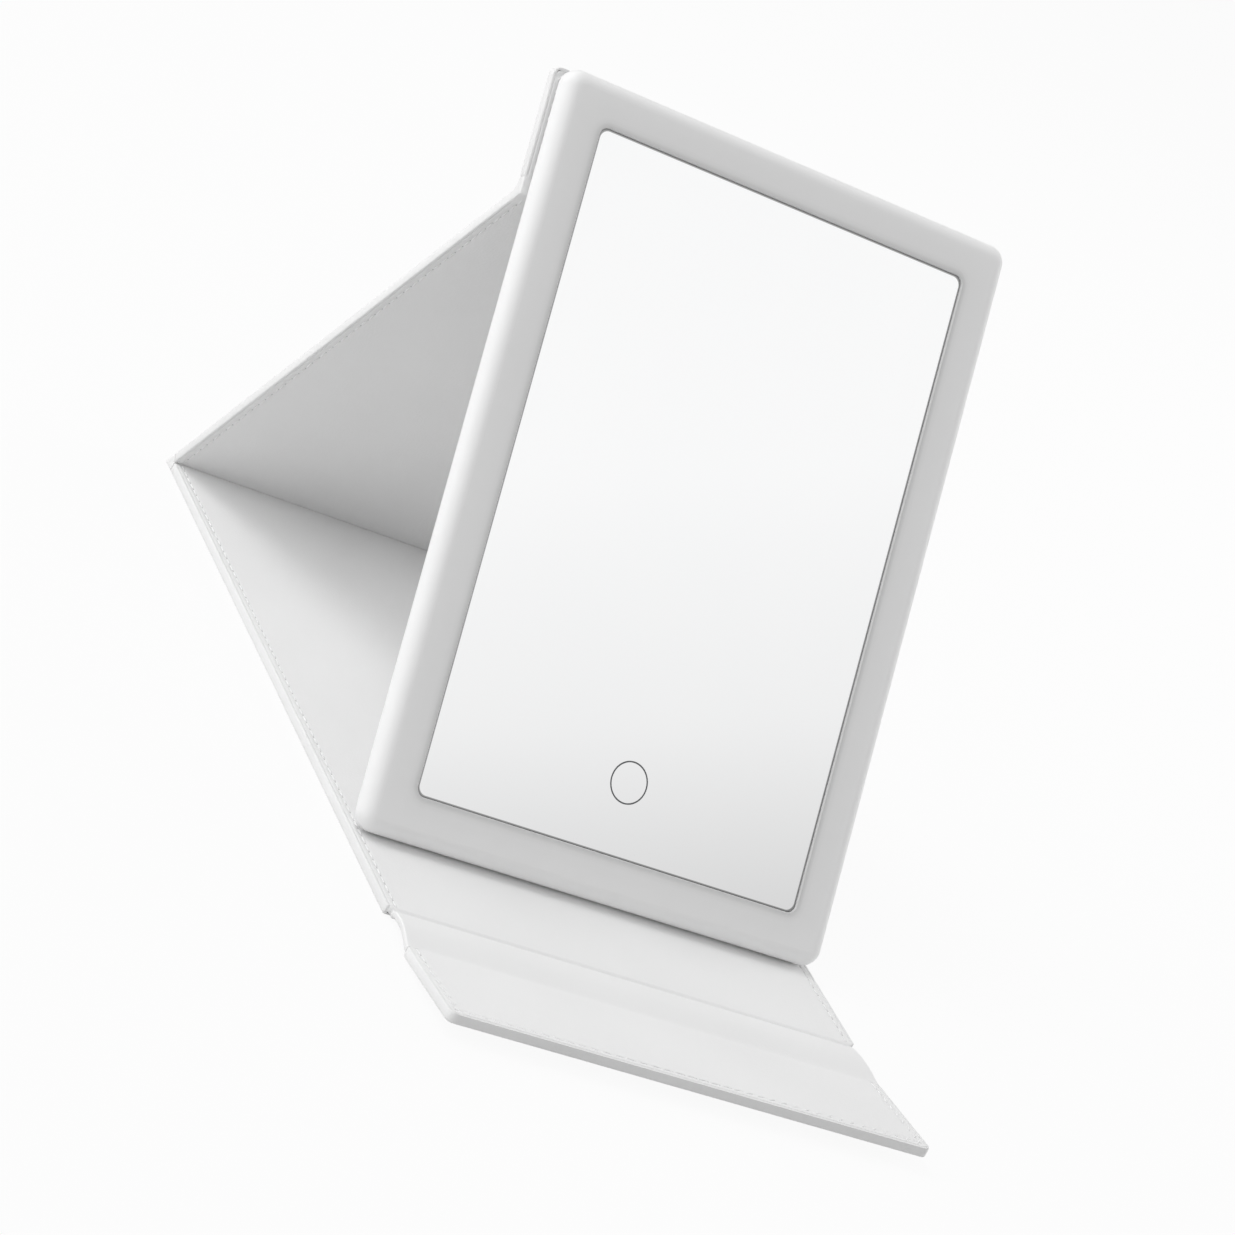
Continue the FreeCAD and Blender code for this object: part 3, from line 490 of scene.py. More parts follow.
def spine_strip(name, places, tail):
    """A strip of the spine, with a tail of stations on the flap where it has one."""
    stations = [((v, spine_top(v)), (v, spine_top(v) - SPINE_THICK)) for v in places] + tail
    widths = [spine_half(v) for v in places] + [CASE_HALF - 0.1] * len(tail)
    last = len(stations) - 1
    return hinge(name, stations, lambda share: widths[round(share * last)])


SPINE_MIDDLE = (SPINE_LOW + SPINE_HIGH) / 2
CREASE_PLACES = (BASE_LOW, -120.7, -121.0, -121.3, -121.6, -121.9, -122.2, -122.5)
ARCH_PLACES = (-123.0, -123.8, -125.0, -126.5, -128.0, SPINE_MIDDLE)
front_hinge = spine_strip("spine_rear_leather", CREASE_PLACES + ARCH_PLACES, [])
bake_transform(front_hinge)
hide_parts("spine_lining", "spine_outer_skin")

flap_tail = [(row(flap_place, v, PANEL), row(flap_place, v, PANEL - SPINE_THICK)) for v in (0.0, FLAP_HIGH)]
FRONT_PLACES = (SPINE_MIDDLE, -131.5, -133.0, -134.5, -136.0, -137.0, -137.8)
flap_hinge = spine_strip("spine_front_leather", FRONT_PLACES, flap_tail)
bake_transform(flap_hinge)
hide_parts("spine_lining", "spine_outer_skin")


# Stitching
# A single row of white thread round every stiff panel, pulled into the leather, with a needle hole
# between the stitches. One node tree lays the stitches along a path on each panel.

STITCH_PITCH = 3.7
STITCH_LENGTH = 3.0
STITCH_START = 1.6
THREAD = 0.30
HOLE = 0.28
thread_white, tree, link, shader = new_material("thread_white")
twist = tree.new("ShaderNodeTexWave")
twist.inputs["Scale"].default_value = 900.0
twist_place = tree.new("ShaderNodeTexCoord")
twist_tone = tone_ramp(tree, (0.82, 0.82, 0.82), (0.90, 0.90, 0.90))
link(twist_place.outputs["Object"], twist.inputs["Vector"])
link(twist.outputs["Fac"], twist_tone.inputs["Fac"])
link(twist_tone.outputs["Color"], shader.inputs["Base Color"])
shader.inputs["Roughness"].default_value = 0.6
# Painted shade: each needle hole is a flat grey disc, standing in for the shade inside the hole.
needle_hole_painted_shade, tree, link, shader = new_material("needle_hole_painted_shade")
hole_shade = tree.new("ShaderNodeTexNoise")
hole_shade.inputs["Scale"].default_value = 400.0
hole_place = tree.new("ShaderNodeTexCoord")
hole_tone = tone_ramp(tree, (0.50, 0.50, 0.50), (0.62, 0.62, 0.62))
link(hole_place.outputs["Object"], hole_shade.inputs["Vector"])
link(hole_shade.outputs["Fac"], hole_tone.inputs["Fac"])
link(hole_tone.outputs["Color"], shader.inputs["Base Color"])
shader.inputs["Roughness"].default_value = 0.8


def stitch_tree():
    """Stitches and needle holes along a path whose points carry the way the leather faces."""
    tree = bpy.data.node_groups.new("stitch_row", "GeometryNodeTree")
    new_socket(tree, "Geometry", "INPUT", "NodeSocketGeometry")
    for name in ("Pitch", "Stitch Length", "Thread Radius", "Hole Radius"):
        new_socket(tree, name, "INPUT", "NodeSocketFloat", 0.001)
    new_socket(tree, "Geometry", "OUTPUT", "NodeSocketGeometry")
    make = tree.nodes.new
    link = tree.links.new
    entry = make("NodeGroupInput")
    leave = make("NodeGroupOutput")
    path = make("GeometryNodeMeshToCurve")
    spots = make("GeometryNodeCurveToPoints")
    spots.mode = "LENGTH"
    facing = make("GeometryNodeInputNamedAttribute")
    facing.data_type = "FLOAT_VECTOR"
    facing.inputs["Name"].default_value = "facing"
    ahead = make("FunctionNodeAlignRotationToVector")
    ahead.axis = "X"
    upright = make("FunctionNodeAlignRotationToVector")
    upright.axis = "Z"
    upright.pivot_axis = "X"
    slant = make("FunctionNodeRotateRotation")
    slant.rotation_space = "LOCAL"
    slant.inputs["Rotate By"].default_value = (0, 0, math.radians(5))
    link(entry.outputs["Geometry"], path.inputs["Mesh"])
    link(path.outputs["Curve"], spots.inputs["Curve"])
    link(entry.outputs["Pitch"], spots.inputs["Length"])
    link(spots.outputs["Tangent"], ahead.inputs["Vector"])
    link(ahead.outputs["Rotation"], upright.inputs["Rotation"])
    link(facing.outputs["Attribute"], upright.inputs["Vector"])
    link(upright.outputs["Rotation"], slant.inputs["Rotation"])

    bead = make("GeometryNodeMeshUVSphere")
    bead.inputs["Segments"].default_value = 8
    bead.inputs["Rings"].default_value = 7
    bead.inputs["Radius"].default_value = 1.0
    half = make("ShaderNodeMath")
    half.operation = "MULTIPLY"
    half.inputs[1].default_value = 0.5
    size = make("ShaderNodeCombineXYZ")
    shape = make("GeometryNodeTransform")
    laid = make("GeometryNodeInstanceOnPoints")
    real = make("GeometryNodeRealizeInstances")
    smooth = make("GeometryNodeSetShadeSmooth")
    thread = make("GeometryNodeSetMaterial")
    thread.inputs["Material"].default_value = thread_white
    link(entry.outputs["Stitch Length"], half.inputs[0])
    link(half.outputs["Value"], size.inputs["X"])
    link(entry.outputs["Thread Radius"], size.inputs["Y"])
    link(entry.outputs["Thread Radius"], size.inputs["Z"])
    link(bead.outputs["Mesh"], shape.inputs["Geometry"])
    link(size.outputs["Vector"], shape.inputs["Scale"])
    link(spots.outputs["Points"], laid.inputs["Points"])
    link(shape.outputs["Geometry"], laid.inputs["Instance"])
    link(slant.outputs["Rotation"], laid.inputs["Rotation"])
    link(laid.outputs["Instances"], real.inputs["Geometry"])
    link(real.outputs["Geometry"], smooth.inputs["Geometry"])
    link(smooth.outputs["Geometry"], thread.inputs["Geometry"])

    # Flat discs of painted shade where the needle holes are.
    disc = make("GeometryNodeMeshCircle")
    disc.fill_type = "NGON"
    disc.inputs["Vertices"].default_value = 10
    shift = make("ShaderNodeVectorMath")
    shift.operation = "SCALE"
    step = make("ShaderNodeMath")
    step.operation = "MULTIPLY"
    step.inputs[1].default_value = 0.5
    moved = make("GeometryNodeSetPosition")
    pricked = make("GeometryNodeInstanceOnPoints")
    real_holes = make("GeometryNodeRealizeInstances")
    holes = make("GeometryNodeSetMaterial")
    holes.inputs["Material"].default_value = needle_hole_painted_shade
    both = make("GeometryNodeJoinGeometry")
    link(entry.outputs["Hole Radius"], disc.inputs["Radius"])
    link(entry.outputs["Pitch"], step.inputs[0])
    link(spots.outputs["Tangent"], shift.inputs["Vector"])
    link(step.outputs["Value"], shift.inputs["Scale"])
    link(spots.outputs["Points"], moved.inputs["Geometry"])
    link(shift.outputs["Vector"], moved.inputs["Offset"])
    link(moved.outputs["Geometry"], pricked.inputs["Points"])
    link(disc.outputs["Mesh"], pricked.inputs["Instance"])
    link(upright.outputs["Rotation"], pricked.inputs["Rotation"])
    link(pricked.outputs["Instances"], real_holes.inputs["Geometry"])
    link(real_holes.outputs["Geometry"], holes.inputs["Geometry"])
    link(thread.outputs["Geometry"], both.inputs["Geometry"])
    link(holes.outputs["Geometry"], both.inputs["Geometry"])
    link(both.outputs["Geometry"], leave.inputs["Geometry"])
    return tree


stitch_row = stitch_tree()
STITCH_SIZES = {
    "Pitch": STITCH_PITCH * MM,
    "Stitch Length": STITCH_LENGTH * MM,
    "Thread Radius": THREAD * MM,
    "Hole Radius": HOLE * MM,
}


def set_inputs(modifier, tree, values):
    """Set a node tree's inputs on its modifier by the sockets' identifiers."""
    for item in tree.interface.items_tree:
        if item.item_type == "SOCKET" and item.in_out == "INPUT" and item.name in values:
            modifier[item.identifier] = values[item.name]


def grown(name, path, tree, values):
    """The plain mesh that a node tree grows on a path."""
    modifier = path.modifiers.new(tree.name, "NODES")
    modifier.node_group = tree
    set_inputs(modifier, tree, values)
    graph = bpy.context.evaluated_depsgraph_get()
    mesh = bpy.data.meshes.new_from_object(path.evaluated_get(graph))
    mesh.name = name
    path.modifiers.remove(modifier)
    bpy.data.objects.remove(path)
    piece = bpy.data.objects.new(name, mesh)
    bpy.context.scene.collection.objects.link(piece)
    return piece


def facing_path(name, place, runs):
    """A mesh of runs of points on a panel. Each run is its points and the side that they face, +1 or -1."""
    bm = bmesh.new()
    facing = bm.verts.layers.float_vector.new("facing")
    for points, out in runs:
        way = (place(0, 0, out) - place(0, 0, 0)).normalized()
        spots = []
        for point in points:
            spot = bm.verts.new(place(*point))
            spot[facing] = way
            spots.append(spot)
        for one, other in zip(spots, spots[1:]):
            bm.edges.new((one, other))
    mesh = bpy.data.meshes.new(name)
    bm.to_mesh(mesh)
    bm.free()
    path = bpy.data.objects.new(name, mesh)
    bpy.context.scene.collection.objects.link(path)
    return path


def stitch(name, body, place, low, high, free, floor=0.0):
    """Stitch both faces of a panel along its sides and, where it has one, its free end (+1 or -1)."""
    side = CASE_HALF - SEAM_INSET
    start = low + (SEAM_INSET if free == -1 else STITCH_START)
    end = high - (SEAM_INSET if free == 1 else STITCH_START)
    if free == 1:
        lines = [[(-side, start), (-side, end), (side, end), (side, start)]]
    elif free == -1:
        lines = [[(-side, end), (-side, start), (side, start), (side, end)]]
    else:
        lines = [[(-side, start), (-side, end)], [(side, start), (side, end)]]
    sunk = SEAM_DEPTH - 0.03
    runs = []
    for height, out in ((floor + PANEL - sunk, 1), (floor + sunk, -1)):
        runs += [([(x, v, height) for x, v in line], out) for line in lines]
    piece = grown(name, facing_path(name + "_path", place, runs), stitch_row, STITCH_SIZES)
    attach(piece, body)


stitch("base_stitching", "base", base_place, BASE_LOW, BASE_HIGH, 0)
stitch("strut_stitching", "strut", strut_place, STRUT_LOW, STRUT_HIGH, 0)
stitch("fixed_panel_stitching", "mirror", mirror_place, FIXED_LOW, FIXED_HIGH, 1, FIXED_FLOOR)
stitch("flap_stitching", "flap", flap_place, FLAP_LOW, FLAP_HIGH, -1)


# Diffuser frame
# One milky plastic moulding, bullnosed all round, satin, and thick enough to spread the light behind it.
# The modelled solid is right, so it is kept and given its finish.

def moulded(name, low, high, scale, roughness, depth):
    """Moulded or painted stuff: a fine even grain and a faint drift of tone."""
    material, tree, link, shader = new_material(name)
    place = tree.new("ShaderNodeTexCoord")
    drift = tree.new("ShaderNodeTexNoise")
    drift.inputs["Scale"].default_value = scale / 40
    drift.inputs["Detail"].default_value = 2.0
    fine = tree.new("ShaderNodeTexNoise")
    fine.inputs["Scale"].default_value = scale
    fine.inputs["Detail"].default_value = 3.0
    ramp = tone_ramp(tree, low, high)
    bump = tree.new("ShaderNodeBump")
    bump.inputs["Strength"].default_value = 0.3
    bump.inputs["Distance"].default_value = depth
    gloss = tree.new("ShaderNodeMapRange")
    gloss.inputs["To Min"].default_value = roughness - 0.05
    gloss.inputs["To Max"].default_value = roughness + 0.05
    link(place.outputs["Object"], drift.inputs["Vector"])
    link(place.outputs["Object"], fine.inputs["Vector"])
    link(drift.outputs["Fac"], ramp.inputs["Fac"])
    link(ramp.outputs["Color"], shader.inputs["Base Color"])
    link(fine.outputs["Fac"], bump.inputs["Height"])
    link(bump.outputs["Normal"], shader.inputs["Normal"])
    link(fine.outputs["Fac"], gloss.inputs["Value"])
    link(gloss.outputs["Result"], shader.inputs["Roughness"])
    return material, shader


def finish_node(node, material):
    """Give a solid its finish."""
    mesh = nodes[node].data
    mesh.materials.clear()
    mesh.materials.append(material)


FRAME_MIDDLE = 0.106
OPENING_HALF = (0.0625, 0.09325)
OPENING_CORNER = 0.0029


def outline_painted_shade_group(name, half_size, corner, span, levels):
    """Painted shade, set by how far a point of the mirror lies outside a round-cornered outline, over a
    span.
    """
    tree = bpy.data.node_groups.new(name, "ShaderNodeTree")
    new_socket(tree, "Tone", "OUTPUT", "NodeSocketColor")
    make = tree.nodes.new
    link = tree.links.new

    def math_node(operation, one, other=0.0):
        node = make("ShaderNodeMath")
        node.operation = operation
        for socket, value in zip(node.inputs, (one, other)):
            if isinstance(value, float):
                socket.default_value = value
            else:
                link(value, socket)
        return node.outputs["Value"]

    leave = make("NodeGroupOutput")
    place = make("ShaderNodeTexCoord")
    split = make("ShaderNodeSeparateXYZ")
    rise = make("ShaderNodeVectorMath")
    rise.operation = "DOT_PRODUCT"
    cos = math.cos(math.radians(MIRROR_TURN))
    sin = math.sin(math.radians(MIRROR_TURN))
    rise.inputs[1].default_value = (0, cos, sin)
    middle = (FOOT_Y * cos + FOOT_Z * sin) * MM + FRAME_MIDDLE
    link(place.outputs["Object"], split.inputs["Vector"])
    link(place.outputs["Object"], rise.inputs[0])
    past = []
    for source, centre, half in ((split.outputs["X"], 0.0, half_size[0]),
                                 (rise.outputs["Value"], middle, half_size[1])):
        off = math_node("ABSOLUTE", math_node("SUBTRACT", source, centre))
        past.append(math_node("SUBTRACT", off, half - corner))
    squares = [math_node("POWER", math_node("MAXIMUM", value), 2.0) for value in past]
    outside = math_node("SQRT", math_node("ADD", *squares))
    inside = math_node("MINIMUM", math_node("MAXIMUM", *past))
    distance = math_node("SUBTRACT", math_node("ADD", outside, inside), corner)
    share = make("ShaderNodeMapRange")
    share.inputs["From Min"].default_value = span[0]
    share.inputs["From Max"].default_value = span[1]
    ramp = tone_ramp(tree.nodes, (levels[0][1],) * 3, (levels[-1][1],) * 3)
    for position, level in levels[1:-1]:
        ramp.color_ramp.elements.new(position).color = (level, level, level, 1)
    link(distance, share.inputs["Value"])
    link(share.outputs["Result"], ramp.inputs["Fac"])
    link(ramp.outputs["Color"], leave.inputs["Tone"])
    return tree


def shade_by_outline(material, shader, group):
    """Multiply a finish's colour by a painted shade group."""
    tree = material.node_tree.nodes
    link = material.node_tree.links.new
    tone = tree.new("ShaderNodeGroup")
    tone.node_tree = group
    shaded = tree.new("ShaderNodeMix")
    shaded.data_type = "RGBA"
    shaded.blend_type = "MULTIPLY"
    shaded.inputs["Factor"].default_value = 1.0
    link(shader.inputs["Base Color"].links[0].from_socket, shaded.inputs["A"])
    link(tone.outputs["Tone"], shaded.inputs["B"])
    link(shaded.outputs["Result"], shader.inputs["Base Color"])


milky_plastic, milky_shader = moulded("milky_plastic", (0.885, 0.885, 0.885), (0.905, 0.905, 0.905),
                                      1800, 0.32, 0.000005)
# Painted shade: the frame's face darkens towards the glass opening, standing in for the shade that falls in
# the recess round the glass.
LIP_SPAN = (0.0005, 0.0135)
LIP_SHADE = ((0, 0.74), (0.10, 0.91), (0.20, 0.955), (0.45, 0.975), (0.75, 0.99), (1, 1.0))
lip_painted_shade = outline_painted_shade_group("lip_painted_shade", OPENING_HALF, OPENING_CORNER, LIP_SPAN, LIP_SHADE)
shade_by_outline(milky_plastic, milky_shader, lip_painted_shade)
milky_shader.inputs["Subsurface Weight"].default_value = 0.15
milky_shader.inputs["Subsurface Scale"].default_value = 0.002
milky_shader.inputs["Subsurface Radius"].default_value = (1, 1, 1)
finish_node("diffuser_frame", milky_plastic)


# Mirror glass and touch ring
# Silvered glass lying a little below the frame's face. The touch ring is a thin dark line near its foot,
# let into the glass in front of the sensor.

silver, tree, link, shader = new_material("silvered_glass")
smear_place = tree.new("ShaderNodeTexCoord")
smear = tree.new("ShaderNodeTexNoise")
smear.inputs["Scale"].default_value = 14.0
smear.inputs["Detail"].default_value = 3.0
smear_gloss = tree.new("ShaderNodeMapRange")
smear_gloss.inputs["To Min"].default_value = 0.015
smear_gloss.inputs["To Max"].default_value = 0.05
smear_tone = tone_ramp(tree, (0.93, 0.935, 0.94), (0.96, 0.96, 0.96))
link(smear_place.outputs["Object"], smear.inputs["Vector"])
link(smear.outputs["Fac"], smear_gloss.inputs["Value"])
link(smear.outputs["Fac"], smear_tone.inputs["Fac"])
link(smear_gloss.outputs["Result"], shader.inputs["Roughness"])
link(smear_tone.outputs["Color"], shader.inputs["Base Color"])
shader.inputs["Metallic"].default_value = 1.0
# Painted shade: a dark rim on the glass just inside the opening, standing in for the shaded wall beside the
# glass and its reflection.
GLASS_HALF = (0.06235, 0.0931)
GLASS_CORNER = 0.0029
EDGE_SPAN = (-0.0005, 0.0)
EDGE_SHADE = ((0, 1.0), (0.35, 0.38), (1, 0.30))
glass_edge_painted_shade = outline_painted_shade_group("glass_edge_shade_group", GLASS_HALF, GLASS_CORNER, EDGE_SPAN, EDGE_SHADE)
shade_by_outline(silver, shader, glass_edge_painted_shade)
finish_node("mirror_glass", silver)
ring_ink, _ = moulded("ring_ink", (0.10, 0.105, 0.11), (0.14, 0.145, 0.15), 1500, 0.45, 0.00001)
finish_node("touch_ring", ring_ink)


# Light and electronics
# Behind the glass: its tape, the touch sensor, the white tray with light strips and chips, the foil
# battery, the circuit board with its components, and the leads. Each solid is kept and given its finish.

white_plastic, _ = moulded("white_plastic", (0.76, 0.76, 0.76), (0.80, 0.80, 0.80), 2200, 0.45, 0.00003)
foam_tape, _ = moulded("foam_tape", (0.20, 0.20, 0.20), (0.30, 0.30, 0.30), 1400, 0.85, 0.00015)
grey_board, _ = moulded("grey_board", (0.40, 0.38, 0.34), (0.55, 0.52, 0.47), 700, 0.9, 0.00012)
green_mask, _ = moulded("green_mask", (0.02, 0.15, 0.06), (0.05, 0.24, 0.11), 900, 0.35, 0.00002)
strip_white, _ = moulded("strip_white", (0.72, 0.72, 0.70), (0.80, 0.80, 0.78), 1200, 0.5, 0.00002)
phosphor, _ = moulded("phosphor", (0.80, 0.62, 0.16), (0.90, 0.76, 0.30), 1500, 0.4, 0.00003)
foil_pouch, foil_shader = moulded("foil_pouch", (0.60, 0.61, 0.63), (0.70, 0.71, 0.73), 500, 0.35, 0.00006)
foil_shader.inputs["Metallic"].default_value = 0.9
black_case, _ = moulded("black_case", (0.025, 0.025, 0.028), (0.045, 0.045, 0.05), 1600, 0.5, 0.00003)
red_lead, _ = moulded("red_lead", (0.45, 0.03, 0.03), (0.55, 0.06, 0.05), 1200, 0.45, 0.00002)
white_lead, _ = moulded("white_lead", (0.68, 0.68, 0.66), (0.76, 0.76, 0.74), 1200, 0.45, 0.00002)
plain_steel, steel_shader = moulded("plain_steel", (0.52, 0.52, 0.53), (0.62, 0.62, 0.63),
                                    2500, 0.32, 0.00002)
steel_shader.inputs["Metallic"].default_value = 1.0
nickel, nickel_shader = moulded("nickel", (0.66, 0.65, 0.61), (0.74, 0.73, 0.69), 2500, 0.22, 0.00001)
nickel_shader.inputs["Metallic"].default_value = 1.0
for material, finished in (
    (grey_board, ("base_board", "strut_board", "fixed_panel_board", "flap_board")),
    (plain_steel, ("closure_keepers", "charging_port", "cover_screws", "board_screws")),
    (nickel, ("flap_magnets",)),
    (foam_tape, ("glass_tape", "battery_tape", "mounting_tape")),
    (green_mask, ("touch_sensor", "main_board")),
    (white_plastic, ("light_tray", "rear_cover")),
    (strip_white, ("light_strip_left", "light_strip_right", "light_strip_bottom", "light_strip_top")),
    (phosphor, ("light_chips",)),
    (foil_pouch, ("battery",)),
    (black_case, ("board_components",)),
    (red_lead, ("battery_leads",)),
    (white_lead, ("light_leads", "touch_leads")),
):
    for node in finished:
        finish_node(node, material)


# Cover screws
# Four pan-head screws with a cross recess hold the rear cover to the frame's bosses.
# One screw is modelled and laid on the four places by a node tree.

SCREW_ACROSS = 67.4
SCREW_RISES = (8.38, 203.18)
HEAD_BACK = 8.38
HEAD_RADIUS = 1.85
HEAD_HEIGHT = 0.66
SHANK_RADIUS = 0.95
SHANK_LENGTH = 4.4
CROSS_ARM = 1.05
CROSS_HALF = 0.24
CROSS_DEPTH = 0.42


def screw_mesh():
    """A screw standing on its shank, head up: rounded rim, cross recess with sloping floor."""
    bm = bmesh.new()
    around = 24

    def circle(radius, height):
        spots = []
        for n in range(around):
            angle = 2 * math.pi * n / around
            spot = (radius * math.cos(angle), radius * math.sin(angle), height)
            spots.append(bm.verts.new(Vector(spot) * MM))
        return spots

    def cross(arm, half, height):
        spots = []
        for quarter in range(4):
            turn = Matrix.Rotation(quarter * math.pi / 2, 2)
            for spot in ((half, half), (half, arm), (-half, arm)):
                x, y = turn @ Vector(spot)
                spots.append(bm.verts.new((x * MM, y * MM, height * MM)))
        return spots

    def band(one, other):
        count = len(one)
        for n in range(count):
            bm.faces.new((one[n], one[(n + 1) % count], other[(n + 1) % count], other[n]))

    loops = [
        circle(SHANK_RADIUS * 0.5, -HEAD_HEIGHT - SHANK_LENGTH),
        circle(SHANK_RADIUS, -HEAD_HEIGHT - SHANK_LENGTH + 0.7),
        circle(SHANK_RADIUS, -HEAD_HEIGHT),
        circle(HEAD_RADIUS, -HEAD_HEIGHT),
        circle(HEAD_RADIUS, -0.3),
        circle(HEAD_RADIUS - 0.1, -0.1),
        circle(HEAD_RADIUS - 0.35, 0.0),
    ]
    for one, other in zip(loops, loops[1:]):
        band(one, other)
    bm.faces.new(loops[0])
    rim = cross(CROSS_ARM, CROSS_HALF, 0.0)
    floor_line = cross(CROSS_ARM * 0.62, CROSS_HALF * 0.7, -CROSS_DEPTH)
    band(rim, floor_line)
    bm.faces.new(floor_line)
    edges = []
    for line in (loops[-1], rim):
        for one, other in zip(line, line[1:] + line[:1]):
            edges.append(bm.edges.get((one, other)) or bm.edges.new((one, other)))
    bmesh.ops.triangle_fill(bm, edges=edges, use_beauty=True)
    bmesh.ops.recalc_face_normals(bm, faces=bm.faces)
    mesh = bpy.data.meshes.new("screw")
    bm.to_mesh(mesh)
    bm.free()
    mesh.shade_smooth()
    mesh.set_sharp_from_angle(angle=math.radians(40))
    return mesh


def screw_tree():
    """A screw on every point, head toward the way the point faces, each turned a little differently."""
    tree = bpy.data.node_groups.new("screw_row", "GeometryNodeTree")
    new_socket(tree, "Geometry", "INPUT", "NodeSocketGeometry")
    new_socket(tree, "Screw", "INPUT", "NodeSocketObject")
    new_socket(tree, "Seed", "INPUT", "NodeSocketInt", 0)
    new_socket(tree, "Geometry", "OUTPUT", "NodeSocketGeometry")
    make = tree.nodes.new
    link = tree.links.new
    entry = make("NodeGroupInput")
    leave = make("NodeGroupOutput")
    spots = make("GeometryNodeMeshToPoints")
    facing = make("GeometryNodeInputNamedAttribute")
    facing.data_type = "FLOAT_VECTOR"
    facing.inputs["Name"].default_value = "facing"
    upright = make("FunctionNodeAlignRotationToVector")
    upright.axis = "Z"
    turn = make("FunctionNodeRandomValue")
    turn.inputs[3].default_value = 1.57
    about = make("ShaderNodeCombineXYZ")
    turned = make("FunctionNodeRotateRotation")
    turned.rotation_space = "LOCAL"
    source = make("GeometryNodeObjectInfo")
    laid = make("GeometryNodeInstanceOnPoints")
    real = make("GeometryNodeRealizeInstances")
    finish = make("GeometryNodeSetMaterial")
    finish.inputs["Material"].default_value = plain_steel
    link(entry.outputs["Geometry"], spots.inputs["Mesh"])
    link(entry.outputs["Screw"], source.inputs["Object"])
    link(entry.outputs["Seed"], turn.inputs["Seed"])
    link(facing.outputs["Attribute"], upright.inputs["Vector"])
    link(turn.outputs[1], about.inputs["Z"])
    link(upright.outputs["Rotation"], turned.inputs["Rotation"])
    link(about.outputs["Vector"], turned.inputs["Rotate By"])
    link(spots.outputs["Points"], laid.inputs["Points"])
    link(source.outputs["Geometry"], laid.inputs["Instance"])
    link(turned.outputs["Rotation"], laid.inputs["Rotation"])
    link(laid.outputs["Instances"], real.inputs["Geometry"])
    link(real.outputs["Geometry"], finish.inputs["Geometry"])
    link(finish.outputs["Geometry"], leave.inputs["Geometry"])
    return tree


one_screw = bpy.data.objects.new("one_screw", screw_mesh())
bpy.context.scene.collection.objects.link(one_screw)
screw_spots = [(x, rise, -HEAD_BACK) for rise in SCREW_RISES for x in (-SCREW_ACROSS, SCREW_ACROSS)]
screw_path = facing_path("screw_path", mirror_place, [(screw_spots, -1)])
screws = grown("cover_screw_heads", screw_path, screw_tree(), {"Screw": one_screw, "Seed": 4})
bpy.data.objects.remove(one_screw)
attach(screws, "mirror")
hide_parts("cover_screws")


# Studio
# A plain white floor and a white surround, brighter on the left. The main soft light hangs above the
# mirror, a little to the left and behind it, with a weaker one low down at each side.
# The floor and the surround are white to the camera and in reflections, and the floor keeps the shadow.

def seen_directly(tree, link):
    """1 for what the camera sees, straight, mirrored or through glass."""
    path = tree.new("ShaderNodeLightPath")
    total = None
    for name in ("Is Camera Ray", "Is Glossy Ray", "Is Transmission Ray"):
        if total is None:
            total = path.outputs[name]
            continue
        either = tree.new("ShaderNodeMath")
        either.operation = "MAXIMUM"
        link(total, either.inputs[0])
        link(path.outputs[name], either.inputs[1])
        total = either.outputs["Value"]
    return total


FLOOR_HALF = 4.0
FLOOR_HEIGHT = -0.0002
SHADOW_KEPT = 0.07
floor_mesh = bpy.data.meshes.new("floor")
corners = [(x * FLOOR_HALF, y * FLOOR_HALF, FLOOR_HEIGHT) for x, y in ((-1, -1), (1, -1), (1, 1), (-1, 1))]
floor_mesh.from_pydata(corners, [], [(0, 1, 2, 3)])
floor = bpy.data.objects.new("floor", floor_mesh)
bpy.context.scene.collection.objects.link(floor)
floor_white, tree, link, shader = new_material("floor_white")
tree.remove(shader)
paper = tree.new("ShaderNodeBsdfDiffuse")
paper.inputs["Color"].default_value = (0.74, 0.74, 0.74, 1)
glow = tree.new("ShaderNodeEmission")
mixed = tree.new("ShaderNodeMixShader")
share = tree.new("ShaderNodeMath")
share.operation = "MULTIPLY"
share.inputs[1].default_value = 1 - SHADOW_KEPT
link(seen_directly(tree, link), share.inputs[0])
link(share.outputs["Value"], mixed.inputs["Fac"])
link(paper.outputs["BSDF"], mixed.inputs[1])
link(glow.outputs["Emission"], mixed.inputs[2])
link(mixed.outputs["Shader"], tree["Material Output"].inputs["Surface"])
floor_mesh.materials.append(floor_white)

world = bpy.data.worlds.new("studio")
bpy.context.scene.world = world
world.use_nodes = True
tree = world.node_tree.nodes
link = world.node_tree.links.new
sky = tree["Background"]
way = tree.new("ShaderNodeTexCoord")
split = tree.new("ShaderNodeSeparateXYZ")
bright = tree.new("ShaderNodeValToRGB")
bright.color_ramp.elements[0].position = 0.46
bright.color_ramp.elements[0].color = (0.66, 0.66, 0.66, 1)
bright.color_ramp.elements[1].position = 0.56
bright.color_ramp.elements[1].color = (0.995, 0.995, 0.995, 1)
bend = bright.color_ramp.elements.new(0.51)
bend.color = (0.91, 0.91, 0.91, 1)
white = tree.new("ShaderNodeBackground")
white.inputs["Color"].default_value = (1, 1, 1, 1)
fill = tree.new("ShaderNodeBackground")
fill.inputs["Color"].default_value = (1, 1, 1, 1)
front = tree.new("ShaderNodeMapRange")
front.inputs["From Min"].default_value = -0.9
front.inputs["From Max"].default_value = 0.1
front.inputs["To Min"].default_value = 0.36
front.inputs["To Max"].default_value = 0.46
left = tree.new("ShaderNodeMapRange")
left.inputs["From Min"].default_value = -1.0
left.inputs["From Max"].default_value = 0.0
left.inputs["To Min"].default_value = 0.75
left.inputs["To Max"].default_value = 0.0
